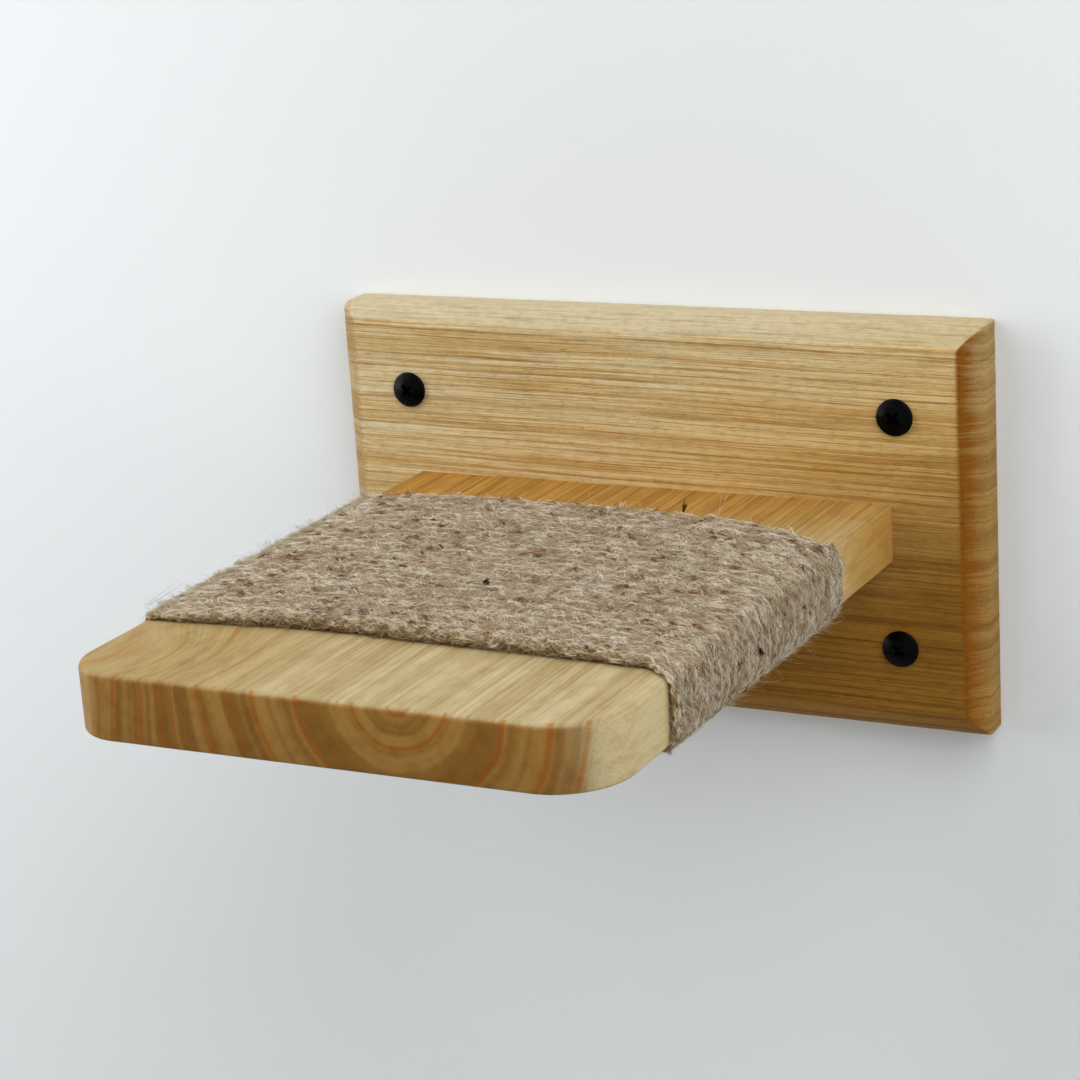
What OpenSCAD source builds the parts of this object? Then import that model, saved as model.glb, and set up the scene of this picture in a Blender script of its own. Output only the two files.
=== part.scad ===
// Cat wall shelf: a short softwood board on a bevelled back plate, wound with jute rope.
// Millimetres. +Z is up, +X is to the right seen from the room, +Y goes into the wall.
// The origin is the centre of the plate's back face, on the surface of the wall.

/* [Back plate] */
// Width of the plate along the wall
plate_w = 240; // [225:1:320]
// Height of the plate up the wall
plate_h = 141; // [120:1:220]
// Thickness of the plate
plate_t = 17; // [15:0.5:28]
// Width of the bevel, measured across the plate's face
plate_bevel_w = 7.2; // [2:0.1:12]
// Depth of the bevel, measured back from the plate's face
plate_bevel_d = 6.8; // [2:0.1:10]
// Radius of the plate's worn upper left corner
plate_worn_corner_r = 4; // [1:0.5:8]
// Radius of the plate's three other corners
plate_corner_r = 1; // [0.5:0.1:3]

/* [Shelf board] */
// Width of the shelf board
shelf_w = 178; // [150:1:195]
// Length of the shelf board, out from the plate's face
shelf_len = 221; // [205:1:320]
// Thickness of the shelf board
shelf_t = 20; // [18:0.5:30]
// Radius of the two front corners, seen from above
shelf_corner_r = 22; // [8:1:36]
// Radius of the eased edges along the board and round its front
shelf_edge_r = 2.4; // [1:0.1:4]

/* [Rope] */
// Width of one turn of rope, along the board
rope_w = 4.9; // [3:0.1:5.5]
// Thickness of one turn of rope, flattened by its own tension
rope_t = 3.5; // [2:0.1:6]
// Number of turns that show on top of the board
rope_turns = 26; // [4:1:28]
// Distance from the board's front end back to the first turn, at mid-width
rope_setback = 45; // [38:1:60]
// How far the right ends of the turns lie ahead of their middles
rope_lean = 1.5; // [0:0.1:6]
// Length of each loose tail under the board
rope_tail = 116; // [40:1:140]

/* [Wall screws] */
// Distance between the two columns of wall screws
wall_screw_span_x = 182; // [160:1:200]
// Distance between the two rows of wall screws
wall_screw_span_z = 80; // [60:1:100]
// Length of a wall screw under its head
wall_screw_len = 50; // [40:1:80]
// Thread diameter of a wall screw
wall_screw_d = 5; // [4:0.1:6]
// Room all round a wall screw in its hole in the plate
wall_hole_room = 0.25; // [0.1:0.05:1]
// Diameter of a domed head
dome_d = 12.6; // [9:0.1:15]
// Height of a domed head
dome_h = 2.6; // [2:0.1:5]

/* [Shelf screws and dowels] */
// Distance from the middle shelf screw to each outer one
shelf_screw_step = 38; // [20:1:50]
// Length of a shelf screw, with its head
shelf_screw_len = 50; // [40:1:70]
// Thread diameter of a shelf screw
shelf_screw_d = 4; // [3.5:0.1:5]
// Diameter of a countersunk head
sunk_head_d = 8; // [7:0.1:10]
// Distance from the board's middle to each dowel
dowel_offset = 66; // [62:1:72]
// Diameter of a dowel
dowel_d = 8; // [6:0.5:10]
// Length of a dowel
dowel_len = 40; // [30:1:50]
// Depth of the dowel in the plate
dowel_in_plate = 11; // [8:0.5:13]

/* [Staples] */
// Thickness of the staple wire
staple_wire = 1.2; // [0.8:0.1:1.6]
// Length of a staple's legs inside the board
staple_bite = 7; // [5:0.5:12]
// Distance from a rope end to its staple
staple_inset = 9; // [4:0.5:20]

/* [Hidden] */

// Finish colours
plate_colour = "#C39A58";
shelf_colour = "#CDB27C";
jute_colour = "#A8927A";
black_screw_colour = "#17171A";
zinc_colour = "#B9B4A6";
dowel_colour = "#D8BE92";

// Smoothness of round faces, and the overrun of every cut
$fn = 64;
overrun = 1;

// Room between pieces
sliding_fit = 0.1;
thread_room = 0.1;
seat_room = 0.05;
hole_end_room = 1;
rope_gap = 0.2;
turn_gap = 0.2;
staple_room = 0.25;
staple_slot_room = 0.06;

// Faces that the pieces share
plate_face_y = -plate_t;
shelf_front_y = plate_face_y - shelf_len;
shelf_half_w = shelf_w / 2;
shelf_half_t = shelf_t / 2;

// Screw details
dome_rim = 0.9;
dome_steps = 12;
shank_share = 0.76;
root_share = 0.68;
thread_pitch_share = 0.48;
thread_land_share = 0.1;
thread_flank_share = 0.13;
tip_share = 1.4;
crest_behind_plate = 0.3;
recess_len_share = 0.42;
recess_width_share = 0.095;
recess_depth_share = 0.62;
sunk_head_share = 0.3;
sunk_recess_share = 0.8;
sunk_depth = 0.3;

// Dowel details
dowel_chamfer = 1;

// Rope sweep: the middle of the rope follows a rounded rectangle round the board
rope_sides = 8;
bend_steps = 3;
rope_pitch = rope_w + turn_gap;
rope_offset = rope_gap + rope_t / 2;
bend_r = shelf_edge_r + rope_offset;
bend_x = shelf_half_w - shelf_edge_r;
bend_z = shelf_half_t - shelf_edge_r;
bend_arc = PI * bend_r / 2;
turn_len = 4 * bend_arc + 4 * bend_x + 4 * bend_z;
first_turn_y = shelf_front_y + rope_setback + rope_w / 2;
bend_sign_x = [1, 1, -1, -1];
bend_sign_z = [-1, 1, 1, -1];
bend_start = [
    0,
    bend_arc + 2 * bend_z,
    2 * bend_arc + 2 * bend_z + 2 * bend_x,
    3 * bend_arc + 4 * bend_z + 2 * bend_x,
];
// The tails swing away from their neighbours, to leave room for a staple's leg
tail_swing = (staple_wire + 2 * staple_room) * rope_tail / (rope_tail - staple_inset);
rope_under_z = -shelf_half_t - rope_offset;
front_tail_x = bend_x - rope_tail;
rear_tail_x = rope_tail - bend_x;
rear_tail_travel = (rope_turns - 1) * turn_len + bend_start[3] + bend_arc + rope_tail;

// Where the rope lies along the board: travel is the length of rope since the first bend
function lean_y(x) = -rope_lean * x / shelf_half_w;
function rope_y(travel, x) = first_turn_y + rope_pitch * travel / turn_len + lean_y(x);

// One ring of the rope's outline, where out_angle points away from the board
function rope_ring(x, y, z, out_angle) = [
    for (side = [0 : rope_sides - 1])
    let (around = 360 * side / rope_sides, out = rope_t / 2 * cos(around))
    [x + out * cos(out_angle), y + rope_w / 2 * sin(around), z + out * sin(out_angle)]
];

// One ring part-way round a bend; bends run from the lower right, anticlockwise seen from the front
function bend_ring(turn, bend, step) =
    let (out_angle = 90 * (bend - 1) + 90 * step / bend_steps)
    let (x = bend_sign_x[bend] * bend_x + bend_r * cos(out_angle))
    let (z = bend_sign_z[bend] * bend_z + bend_r * sin(out_angle))
    let (travel = turn * turn_len + bend_start[bend] + bend_arc * step / bend_steps)
    rope_ring(x, rope_y(travel, x), z, out_angle);

front_tail_y = rope_y(-rope_tail, front_tail_x) - tail_swing;
rear_tail_y = rope_y(rear_tail_travel, rear_tail_x) + tail_swing;
front_tail_ring = rope_ring(front_tail_x, front_tail_y, rope_under_z, -90);
rear_tail_ring = rope_ring(rear_tail_x, rear_tail_y, rope_under_z, 270);
rope_rings = [
    front_tail_ring,
    for (turn = [0 : rope_turns - 1], bend = [0 : 3], step = [0 : bend_steps]) bend_ring(turn, bend, step),
    rear_tail_ring,
];

// Staples straddle the tails, a named distance from the rope's cut ends
staple_share = staple_inset / rope_tail;
first_bend_y = rope_y(0, bend_x);
last_bend_y = rope_y(rear_tail_travel - rope_tail, -bend_x);
front_staple_x = front_tail_x + staple_inset;
front_staple_y = front_tail_y + (first_bend_y - front_tail_y) * staple_share;
rear_staple_x = rear_tail_x - staple_inset;
rear_staple_y = rear_tail_y + (last_bend_y - rear_tail_y) * staple_share;
staple_inner_w = rope_w + 2 * staple_room;
staple_crown_z = -shelf_half_t - rope_gap - rope_t - staple_room;

// A rectangle with its four corners rounded by one radius
module rounded_rectangle(w, h, r) {
    square([w - 2 * r, h], center = true);
    square([w, h - 2 * r], center = true);
    for (side = [-1, 1], end = [-1, 1])
        translate([side * (w / 2 - r), end * (h / 2 - r)])
            circle(r);
}

// What a corner radius takes off a square corner that points along +X and +Y
module corner_waste(r) {
    difference() {
        translate([-r, -r])
            square(r + overrun);
        translate([-r, -r])
            circle(r);
    }
}

// The plate's outline seen from the room, with its worn corner
module plate_outline() {
    difference() {
        square([plate_w, plate_h], center = true);
        for (side = [-1, 1], end = [-1, 1])
            mirror([side < 0 ? 1 : 0, 0])
                mirror([0, end < 0 ? 1 : 0])
                    translate([plate_w / 2, plate_h / 2])
                        corner_waste(side < 0 && end > 0 ? plate_worn_corner_r : plate_corner_r);
    }
}

// A section of the plate with the bevels of two opposite edges; depth runs along the second axis
module bevel_section(across) {
    polygon([
        [-across / 2, 0],
        [across / 2, 0],
        [across / 2, plate_bevel_d - plate_t],
        [across / 2 - plate_bevel_w, -plate_t],
        [plate_bevel_w - across / 2, -plate_t],
        [-across / 2, plate_bevel_d - plate_t],
    ]);
}

// The plate before drilling: bevels meet in mitres at the corners
module plate_blank() {
    intersection() {
        translate([0, 0, -plate_h / 2])
            linear_extrude(plate_h)
                bevel_section(plate_w);
        rotate([0, 90, 0])
            translate([0, 0, -plate_w / 2])
                linear_extrude(plate_w)
                    bevel_section(plate_h);
        rotate([90, 0, 0])
            linear_extrude(plate_t)
                plate_outline();
    }
}

// Half of the section that turns round each front corner of the board
module corner_section() {
    intersection() {
        rounded_rectangle(2 * shelf_corner_r, shelf_t, shelf_edge_r);
        translate([0, -shelf_half_t])
            square([shelf_corner_r, shelf_t]);
    }
}

// The board before drilling: eased edges run on round the front corners
module board_blank() {
    rotate([90, 0, 0])
        translate([0, 0, plate_t])
            linear_extrude(shelf_len - shelf_corner_r)
                rounded_rectangle(shelf_w, shelf_t, shelf_edge_r);
    translate([shelf_corner_r - shelf_half_w, shelf_front_y + shelf_corner_r, 0])
        rotate([90, 0, 90])
            linear_extrude(shelf_w - 2 * shelf_corner_r)
                rounded_rectangle(2 * shelf_corner_r, shelf_t, shelf_edge_r);
    for (side = [-1, 1])
        translate([side * (shelf_half_w - shelf_corner_r), shelf_front_y + shelf_corner_r, 0])
            rotate_extrude()
                corner_section();
}

// A cross recess, cut down from the top of a head
module cross_recess(head_d, depth) {
    length = head_d * recess_len_share;
    width = head_d * recess_width_share;
    translate([0, 0, -overrun])
        linear_extrude(depth + overrun) {
            square([length, width], center = true);
            square([width, length], center = true);
        }
}

// Outline points of a ringed thread from one depth to another, root to crest and back
function thread_points(d, from, count) = [
    for (ring = [0 : count - 1])
    let (start = from + ring * d * thread_pitch_share, flank = d * thread_flank_share)
    let (land = d * thread_land_share, root = d / 2 * root_share)
    each [
        [root, start],
        [d / 2, start + flank],
        [d / 2, start + flank + land],
        [root, start + 2 * flank + land],
    ]
];

// Number of whole thread rings that fit between a depth and the tip
function thread_count(d, from, length) = floor((length - tip_share * d - from) / (d * thread_pitch_share));

// Shank, thread and tip of a screw that points along +Z, from under its head
function shaft_points(d, length, thread_from) = [
    [d / 2 * shank_share, thread_from - d * thread_flank_share],
    each thread_points(d, thread_from, thread_count(d, thread_from, length)),
    [d / 2 * root_share, length - tip_share * d],
    [0, length],
];

// A black dome-head screw that points along +Z, its head seated on z = 0
module dome_screw() {
    dome_r = dome_d / 2;
    crown_h = dome_h - dome_rim;
    thread_from = plate_t + crest_behind_plate - wall_screw_d * thread_flank_share;
    difference() {
        rotate_extrude()
            polygon([
                for (step = [0 : dome_steps])
                [dome_r * sin(90 * step / dome_steps), -dome_rim - crown_h * cos(90 * step / dome_steps)],
                [dome_r, 0],
                [wall_screw_d / 2 * shank_share, 0],
                each shaft_points(wall_screw_d, wall_screw_len, thread_from),
            ]);
        translate([0, 0, -dome_h])
            cross_recess(dome_d, dome_h * recess_depth_share);
    }
}

// A countersunk screw that points along +Z, the flat of its head on z = 0
module sunk_screw() {
    head_h = sunk_head_d * sunk_head_share;
    difference() {
        rotate_extrude()
            polygon([
                [0, 0],
                [sunk_head_d / 2, 0],
                [shelf_screw_d / 2 * shank_share, head_h],
                each shaft_points(shelf_screw_d, shelf_screw_len, plate_t),
            ]);
        cross_recess(sunk_head_d, head_h * sunk_recess_share);
    }
}

// The hole that a countersunk screw needs in the plate, from the plate's back
module sunk_hole() {
    head_h = sunk_head_d * sunk_head_share;
    mouth_r = sunk_head_d / 2 + seat_room;
    throat_r = shelf_screw_d / 2 * shank_share + seat_room;
    translate([0, 0, sunk_depth])
        cylinder(h = head_h, r1 = mouth_r, r2 = throat_r);
    translate([0, 0, -overrun])
        cylinder(h = sunk_depth + overrun, r = mouth_r);
    cylinder(h = plate_t + overrun, r = shelf_screw_d / 2 + thread_room);
}

// Places of the fastenings
module at_wall_screw(side, row) {
    translate([side * wall_screw_span_x / 2, plate_face_y, row * wall_screw_span_z / 2])
        rotate([-90, 0, 0])
            children();
}

module at_shelf_screw(side) {
    translate([side * shelf_screw_step, 0, 0])
        rotate([90, 0, 0])
            children();
}

module at_dowel(side) {
    translate([side * dowel_offset, plate_face_y + dowel_in_plate, 0])
        rotate([90, 0, 0])
            children();
}

// A dowel along +Z with chamfered ends
module dowel_pin() {
    cylinder(h = dowel_chamfer, r1 = dowel_d / 2 - dowel_chamfer, r2 = dowel_d / 2);
    translate([0, 0, dowel_chamfer])
        cylinder(h = dowel_len - 2 * dowel_chamfer, r = dowel_d / 2);
    translate([0, 0, dowel_len - dowel_chamfer])
        cylinder(h = dowel_chamfer, r1 = dowel_d / 2, r2 = dowel_d / 2 - dowel_chamfer);
}

// A staple under the board, its crown across the rope and its legs up in the wood
module staple(x, y) {
    outer_w = staple_inner_w + 2 * staple_wire;
    top_z = -shelf_half_t + staple_bite;
    translate([x - staple_wire / 2, y, staple_crown_z - staple_wire])
        rotate([90, 0, 90])
            linear_extrude(staple_wire)
                difference() {
                    translate([-outer_w / 2, 0])
                        square([outer_w, top_z - staple_crown_z + staple_wire]);
                    translate([-staple_inner_w / 2, staple_wire])
                        square([staple_inner_w, top_z - staple_crown_z + overrun]);
                }
}

// The two slots that a staple's legs have cut in the board
module staple_slots(x, y) {
    slot = staple_wire + 2 * staple_slot_room;
    for (side = [-1, 1])
        translate([x, y + side * (staple_inner_w + staple_wire) / 2, -shelf_half_t - overrun])
            linear_extrude(staple_bite + hole_end_room + overrun)
                square(slot, center = true);
}

// Sub-parts
module back_plate() {
    color(plate_colour)
        difference() {
            plate_blank();
            for (side = [-1, 1], row = [-1, 1])
                at_wall_screw(side, row)
                    translate([0, 0, -overrun])
                        cylinder(h = plate_t + 2 * overrun, r = wall_screw_d / 2 + wall_hole_room);
            for (side = [-1, 0, 1])
                at_shelf_screw(side)
                    sunk_hole();
            for (side = [-1, 1])
                at_dowel(side)
                    translate([0, 0, -hole_end_room])
                        cylinder(h = dowel_in_plate + hole_end_room + overrun, r = dowel_d / 2 + sliding_fit);
        }
}

module shelf_board() {
    screw_hole_len = sunk_depth + shelf_screw_len + hole_end_room;
    color(shelf_colour)
        difference() {
            board_blank();
            for (side = [-1, 0, 1])
                at_shelf_screw(side)
                    cylinder(h = screw_hole_len, r = shelf_screw_d / 2 + thread_room);
            for (side = [-1, 1])
                at_dowel(side)
                    cylinder(h = dowel_len + hole_end_room, r = dowel_d / 2 + sliding_fit);
            staple_slots(front_staple_x, front_staple_y);
            staple_slots(rear_staple_x, rear_staple_y);
        }
}

module rope_wrap() {
    ring_count = len(rope_rings);
    color(jute_colour)
        polyhedron(
            points = [for (ring = rope_rings) each ring],
            faces = [
                [for (side = [0 : rope_sides - 1]) side],
                for (ring = [0 : ring_count - 2], side = [0 : rope_sides - 1])
                let (here = ring * rope_sides, next = (side + 1) % rope_sides)
                [here + side, here + rope_sides + side, here + rope_sides + next, here + next],
                [for (side = [1 : rope_sides]) ring_count * rope_sides - side],
            ]
        );
}

module wall_screw(side, row) {
    color(black_screw_colour)
        at_wall_screw(side, row)
            dome_screw();
}

module shelf_screw(side) {
    color(zinc_colour)
        at_shelf_screw(side)
            translate([0, 0, sunk_depth])
                sunk_screw();
}

module shelf_dowel(side) {
    color(dowel_colour)
        at_dowel(side)
            dowel_pin();
}

module rope_staple(x, y) {
    color(zinc_colour)
        staple(x, y);
}

back_plate();
shelf_board();
rope_wrap();
wall_screw(-1, 1);  // wall_screw_top_left
wall_screw(1, 1);  // wall_screw_top_right
wall_screw(-1, -1);  // wall_screw_bottom_left
wall_screw(1, -1);  // wall_screw_bottom_right
shelf_screw(-1);  // shelf_screw_left
shelf_screw(0);  // shelf_screw_centre
shelf_screw(1);  // shelf_screw_right
shelf_dowel(-1);  // shelf_dowel_left
shelf_dowel(1);  // shelf_dowel_right
rope_staple(front_staple_x, front_staple_y);  // rope_staple_front
rope_staple(rear_staple_x, rear_staple_y);  // rope_staple_rear
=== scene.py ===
"""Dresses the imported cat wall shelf: two softwood boards, a jute rope winding and their fixings."""

import logging
import math
from dataclasses import dataclass
from enum import Enum

import bpy
import numpy as np
from mathutils import Matrix, Vector, noise


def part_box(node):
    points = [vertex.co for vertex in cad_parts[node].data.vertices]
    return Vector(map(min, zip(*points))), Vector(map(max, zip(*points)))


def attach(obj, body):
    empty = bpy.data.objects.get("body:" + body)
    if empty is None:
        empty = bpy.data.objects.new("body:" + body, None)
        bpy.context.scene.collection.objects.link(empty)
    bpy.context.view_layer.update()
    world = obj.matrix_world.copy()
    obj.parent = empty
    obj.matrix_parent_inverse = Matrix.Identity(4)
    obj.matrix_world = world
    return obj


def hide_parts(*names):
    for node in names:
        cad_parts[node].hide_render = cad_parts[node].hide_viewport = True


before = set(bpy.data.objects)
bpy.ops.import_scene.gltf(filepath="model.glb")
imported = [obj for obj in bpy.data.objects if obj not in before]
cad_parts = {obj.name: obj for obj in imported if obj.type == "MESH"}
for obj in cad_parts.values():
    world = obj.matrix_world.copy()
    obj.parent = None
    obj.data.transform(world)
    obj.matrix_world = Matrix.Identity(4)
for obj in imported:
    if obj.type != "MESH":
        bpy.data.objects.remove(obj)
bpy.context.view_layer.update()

BODY = "root"
MM = 0.001
LOG = logging.getLogger("cat_wall_shelf")

# How far the shelf's right side is drawn in at the front
FRONT_NARROW = 2.0 * MM

# Property that the second word of a node's kind sets
MODES = {
    "Math": "operation", "VectorMath": "operation", "MapRange": "interpolation_type", "Mix": "blend_type",
}

# Sockets of a colour Mix node, which share their names with its other kinds
FACTOR, A, B, RESULT = 0, 6, 7, 2

Links = dict[str | int, object]
Material = bpy.types.Material
Mesh = bpy.types.Mesh
Point = tuple[float, float, float]
Profile = list[tuple[float, float]]
Range = tuple[float, float]
Skin = tuple[np.ndarray, list[list[int]]]
Socket = bpy.types.NodeSocket
Tree = bpy.types.NodeTree


def linear(colour: str) -> tuple[float, float, float, float]:
    """Turns an sRGB hex colour into linear light.

    Args:
        colour: Colour as "#RRGGBB".

    Returns:
        Linear red, green and blue, with an alpha of one.
    """
    parts = [int(colour[i:i + 2], 16) / 255 for i in (1, 3, 5)]
    light = [c / 12.92 if c <= 0.04045 else ((c + 0.055) / 1.055) ** 2.4 for c in parts]
    return (light[0], light[1], light[2], 1.0)


def add(
    tree: Tree, kind: str, links: Links | None = None, out: str | int = 0, **settings: object
) -> Socket | None:
    """Adds one shader node, with its settings and what feeds its sockets.

    Args:
        tree: Node tree that takes the node.
        kind: The node's type without its "ShaderNode" prefix, then its mode where it has one.
        links: Sockets by name or number, each with the output that feeds it, its value or its hex colour.
        out: The output that is wanted.
        settings: Other properties by name; "stops" holds a colour ramp's places and hex colours.

    Returns:
        The wanted output, or nothing for a node that has none.
    """
    kind, _, mode = kind.partition(" ")
    node = tree.nodes.new("ShaderNode" + kind)
    if mode:
        settings[MODES[kind]] = mode
    if mode and kind == "Mix":
        node.data_type, out = "RGBA", RESULT
    for name, value in settings.items():
        if name == "stops":
            ramp = node.color_ramp.elements
            ramp[0].position, ramp[-1].position = value[0][0], value[-1][0]
            for place, _ in value[1:-1]:
                ramp.new(place)
            for element, (_, colour) in zip(ramp, value):
                element.color = linear(colour)
        else:
            setattr(node, name, value)
    for socket, source in (links or {}).items():
        if isinstance(source, Socket):
            tree.links.new(source, node.inputs[socket])
        else:
            node.inputs[socket].default_value = linear(source) if isinstance(source, str) else source
    return node.outputs[out] if len(node.outputs) else None


def marks(tree: Tree, place: Socket, sizes_mm: Point, detail: float, roughness: float = 0.5) -> Socket:
    """Adds noise whose marks have a real size along each axis.

    Args:
        tree: Node tree that takes the nodes.
        place: Where the noise is read.
        sizes_mm: Size of a mark along each axis.
        detail: Number of finer layers.
        roughness: How strong the finer layers are.

    Returns:
        The noise, from 0 to 1.
    """
    scaled = add(tree, "VectorMath MULTIPLY", {0: place, 1: [1 / (size * MM) for size in sizes_mm]})
    return add(tree, "TexNoise", {"Vector": scaled, "Scale": 1.0, "Detail": detail, "Roughness": roughness})


class Finish:
    """A finish: a node material whose shader each kind of finish feeds in its own way."""

    name: str

    def material(self) -> Material:
        """Builds the finish.

        Returns:
            The finished material.
        """
        material = bpy.data.materials.new(self.name)
        material.use_nodes = True
        tree = material.node_tree
        tree.nodes.clear()
        add(tree, "OutputMaterial", {"Surface": self.surface(tree)})
        return material

    def surface(self, tree: Tree) -> Socket:
        """Adds the finish's shader to a node tree and gives its output."""
        return add(tree, "BsdfPrincipled", self.look(tree))

    def look(self, tree: Tree) -> Links:
        """Gives what feeds the shader's sockets on a node tree."""
        raise NotImplementedError


class Grain(Enum):
    """Axis that a board's fibres run along, with the two axes across them."""

    ALONG_X = ("X", "Y", "Z")
    ALONG_Y = ("Y", "X", "Z")


@dataclass(frozen=True)
class PineTones:
    """Colours of one zone of a pine board: early wood, late wood and year line, on faces and on end grain."""

    early: str
    late: str
    line: str
    end_early: str
    end_late: str
    end_line: str


@dataclass(frozen=True)
class PlanedPine(Finish):
    """Planed and oiled pine: irregular growth lines, fine fibre streaks, short pores and warmer end grain."""

    name: str
    grain: Grain
    pith_mm: Range
    slope: float
    ring_mm: float
    face_ring: float
    end_ring: float
    line_mm: float
    line_run_mm: float
    band_run_mm: float
    end_lines: float
    end_range: Range
    sap: PineTones
    # The heartwood tones and the golden oil tint are partly painted shade: under the shelf on the back plate,
    # and towards the rear on the shelf
    heart_and_shade: PineTones
    heart_and_shade_way: Point
    heart_and_shade_mm: Range
    oil: str
    oil_mm: Range
    pore: str
    pore_depth: float
    pore_length_mm: float
    relief_mm: float
    streak_depth: float
    break_depth: float
    mottle_mm: float
    mottle_depth: float
    # A tone for faces turned along one axis, painted light and shade by how they face, which also calms the
    # grain there
    calm_axis: str
    calm_range: Range
    facing_light_tone: str
    facing_light_tint: float
    calm_share: float = 0.75
    facing_heart_and_shade_mm: float = 0.0
    # Dark oil soaked into the end bevels, partly painted shade; its share on the left side is painted shade
    # only
    stain: str = "#000000"
    stain_share: float = 0.0
    painted_shade_left: float = 0.0
    stain_mm: Range = (0.0, 1.0)
    stain_sway_mm: float = 5.0
    stain_blotch_mm: float = 11.11
    swirl_place_mm: Point = (0.0, 0.0, 0.0)
    swirl_reach_mm: float = 0.0
    swirl_mm: float = 0.0
    swirl_tint: str = "#FFFFFF"
    swirl_calm: float = 0.0
    swirl_far: float = 0.12
    cut_range: Range = (0.05, 0.4)
    sway_mm: float = 4.5
    sway_sizes_mm: Point = (25.0, 25.0, 142.9)
    heart_and_shade_sway_mm: float = 40.0
    heart_and_shade_cloud_mm: float = 45.45
    mottle: str = "#D2B98E"
    break_mm: float = 40.0
    band_mm: float = 5.0
    streak_mm: float = 0.45
    streak_length_mm: float = 30.0
    pore_mm: float = 0.4
    pore_range: Range = (0.6, 0.74)
    mottle_range: Range = (0.42, 0.68)
    line_range: Range = (0.64, 1.04)
    band_range: Range = (0.38, 0.66)
    band_share: float = 0.6
    line_rough: float = 0.68
    year_wave: float = 0.45
    year_sway: float = 2.2
    break_range: Range = (0.35, 0.65)

    def look(self, tree: Tree) -> Links:
        """Grows the wood in rings round the pith, so that faces and end grain agree.

        Args:
            tree: Node tree that takes the nodes.

        Returns:
            What feeds the shader's sockets.
        """
        place = add(tree, "TexCoord", out="Object")
        parts = add(tree, "SeparateXYZ", {0: place}).node.outputs
        along, side, up = [parts[axis] for axis in self.grain.value]
        up = add(tree, "Math MULTIPLY_ADD", {0: along, 1: self.slope, 2: up})
        grain = add(tree, "CombineXYZ", {0: side, 1: up, 2: along})
        radius, near = self._radius(tree, grain, place)
        growth = add(tree, "CombineXYZ", {0: radius, 2: along})
        lines, bands = self._lines(tree, growth)
        rings = self._rings(tree, radius, growth)
        normal = add(tree, "SeparateXYZ", {0: add(tree, "NewGeometry", out="Normal")}).node.outputs
        # How far the face is turned along one axis: it calms the grain and sets where the facing tone paints
        # light and shade
        calm = add(tree, "MapRange SMOOTHSTEP", {
            "Value": normal[self.calm_axis], "From Min": self.calm_range[0], "From Max": self.calm_range[1],
            "To Max": self.calm_share,
        })
        lively = add(tree, "Math SUBTRACT", {0: 1.0, 1: calm})
        shown = add(tree, "Math MULTIPLY", {0: near, 1: lively})
        faded = add(tree, "Math MULTIPLY_ADD", {0: near, 1: -self.swirl_calm, 2: lively})
        face_ring, end_ring, end_lines = [
            add(tree, "Math MULTIPLY", {0: mark, 1: share})
            for mark, share in ((rings, self.face_ring), (rings, self.end_ring), (bands, self.end_lines))
        ]
        face_ring, face_lines = [
            add(tree, "Math MULTIPLY", {0: mark, 1: share}, use_clamp=True)
            for mark, share in ((face_ring, shown), (lines, faded))
        ]
        facing = add(tree, "Math ABSOLUTE", {0: normal[self.grain.value[0]]})
        end_share, cut_share = [
            add(tree, "MapRange SMOOTHSTEP", {"Value": facing, "From Min": low, "From Max": high})
            for low, high in (self.end_range, self.cut_range)
        ]
        ring = add(tree, "Mix", {0: cut_share, 2: face_ring, 3: end_ring})
        sap, heart_and_shade = [
            self._zone(tree, tones, (face_lines, end_lines), ring, end_share)
            for tones in (self.sap, self.heart_and_shade)
        ]
        streaks, pores, clouds = [
            marks(tree, grain, (across, across, length), detail, 0.6)
            for across, length, detail in (
                (self.streak_mm, self.streak_length_mm, 3.0), (self.pore_mm, self.pore_length_mm, 1.0),
                (self.mottle_mm, 2.5 * self.mottle_mm, 3.0),
            )
        ]
        pore_share, cloud_share = [
            add(tree, "MapRange SMOOTHSTEP", {
                "Value": mark, "From Min": low, "From Max": high, "To Max": depth,
            })
            for mark, (low, high), depth in (
                (pores, self.pore_range, self.pore_depth), (clouds, self.mottle_range, self.mottle_depth),
            )
        ]
        pore_share = add(tree, "Math MULTIPLY", {0: pore_share, 1: lively})
        heart_and_shade_share, oil_share = self._heart_and_shade_shares(tree, place, calm)
        layers = [
            # Painted light and shade by facing: darker on the back plate's top bevel, paler on the shelf's
            # right side
            ("MIX", add(tree, "Math MULTIPLY", {0: calm, 1: self.facing_light_tint}), self.facing_light_tone),
            # Heartwood tones and golden oil tint, partly painted shade
            ("MIX", heart_and_shade_share, heart_and_shade),
            ("MULTIPLY", oil_share, self.oil),
            ("MULTIPLY", cloud_share, self.mottle),
        ]
        if self.swirl_mm:
            swirled = add(tree, "Math SUBTRACT", {0: near, 1: end_share}, use_clamp=True)
            layers.append(("MULTIPLY", swirled, self.swirl_tint))
        # Stain on the end bevels' inner edges, partly painted shade
        if self.stain_share:
            layers.append(("MIX", self._stain_and_shade(tree, place, along, lines, cut_share), self.stain))
        streak_tint = add(tree, "ValToRGB", {0: streaks}, stops=[
            (0.3, "#C2B193"), (0.5, "#FAF6EE"), (0.7, "#FFFFFF"),
        ])
        layers += [("MULTIPLY", self.streak_depth, streak_tint), ("MIX", pore_share, self.pore)]
        colour = sap
        for blend, share, tone in layers:
            colour = add(tree, "Mix " + blend, {FACTOR: share, A: colour, B: tone})
        height = add(tree, "Math MULTIPLY_ADD", {0: streaks, 1: 0.8, 2: lines})
        height = add(tree, "Math SUBTRACT", {0: height, 1: pore_share})
        return {
            "Base Color": colour, "IOR": 1.48, "Specular IOR Level": 0.1,
            "Roughness": add(tree, "MapRange", {"Value": streaks, "To Min": 0.66, "To Max": 0.5}),
            "Normal": add(tree, "Bump", {"Strength": 0.7, "Distance": self.relief_mm * MM, "Height": height}),
        }

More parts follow.
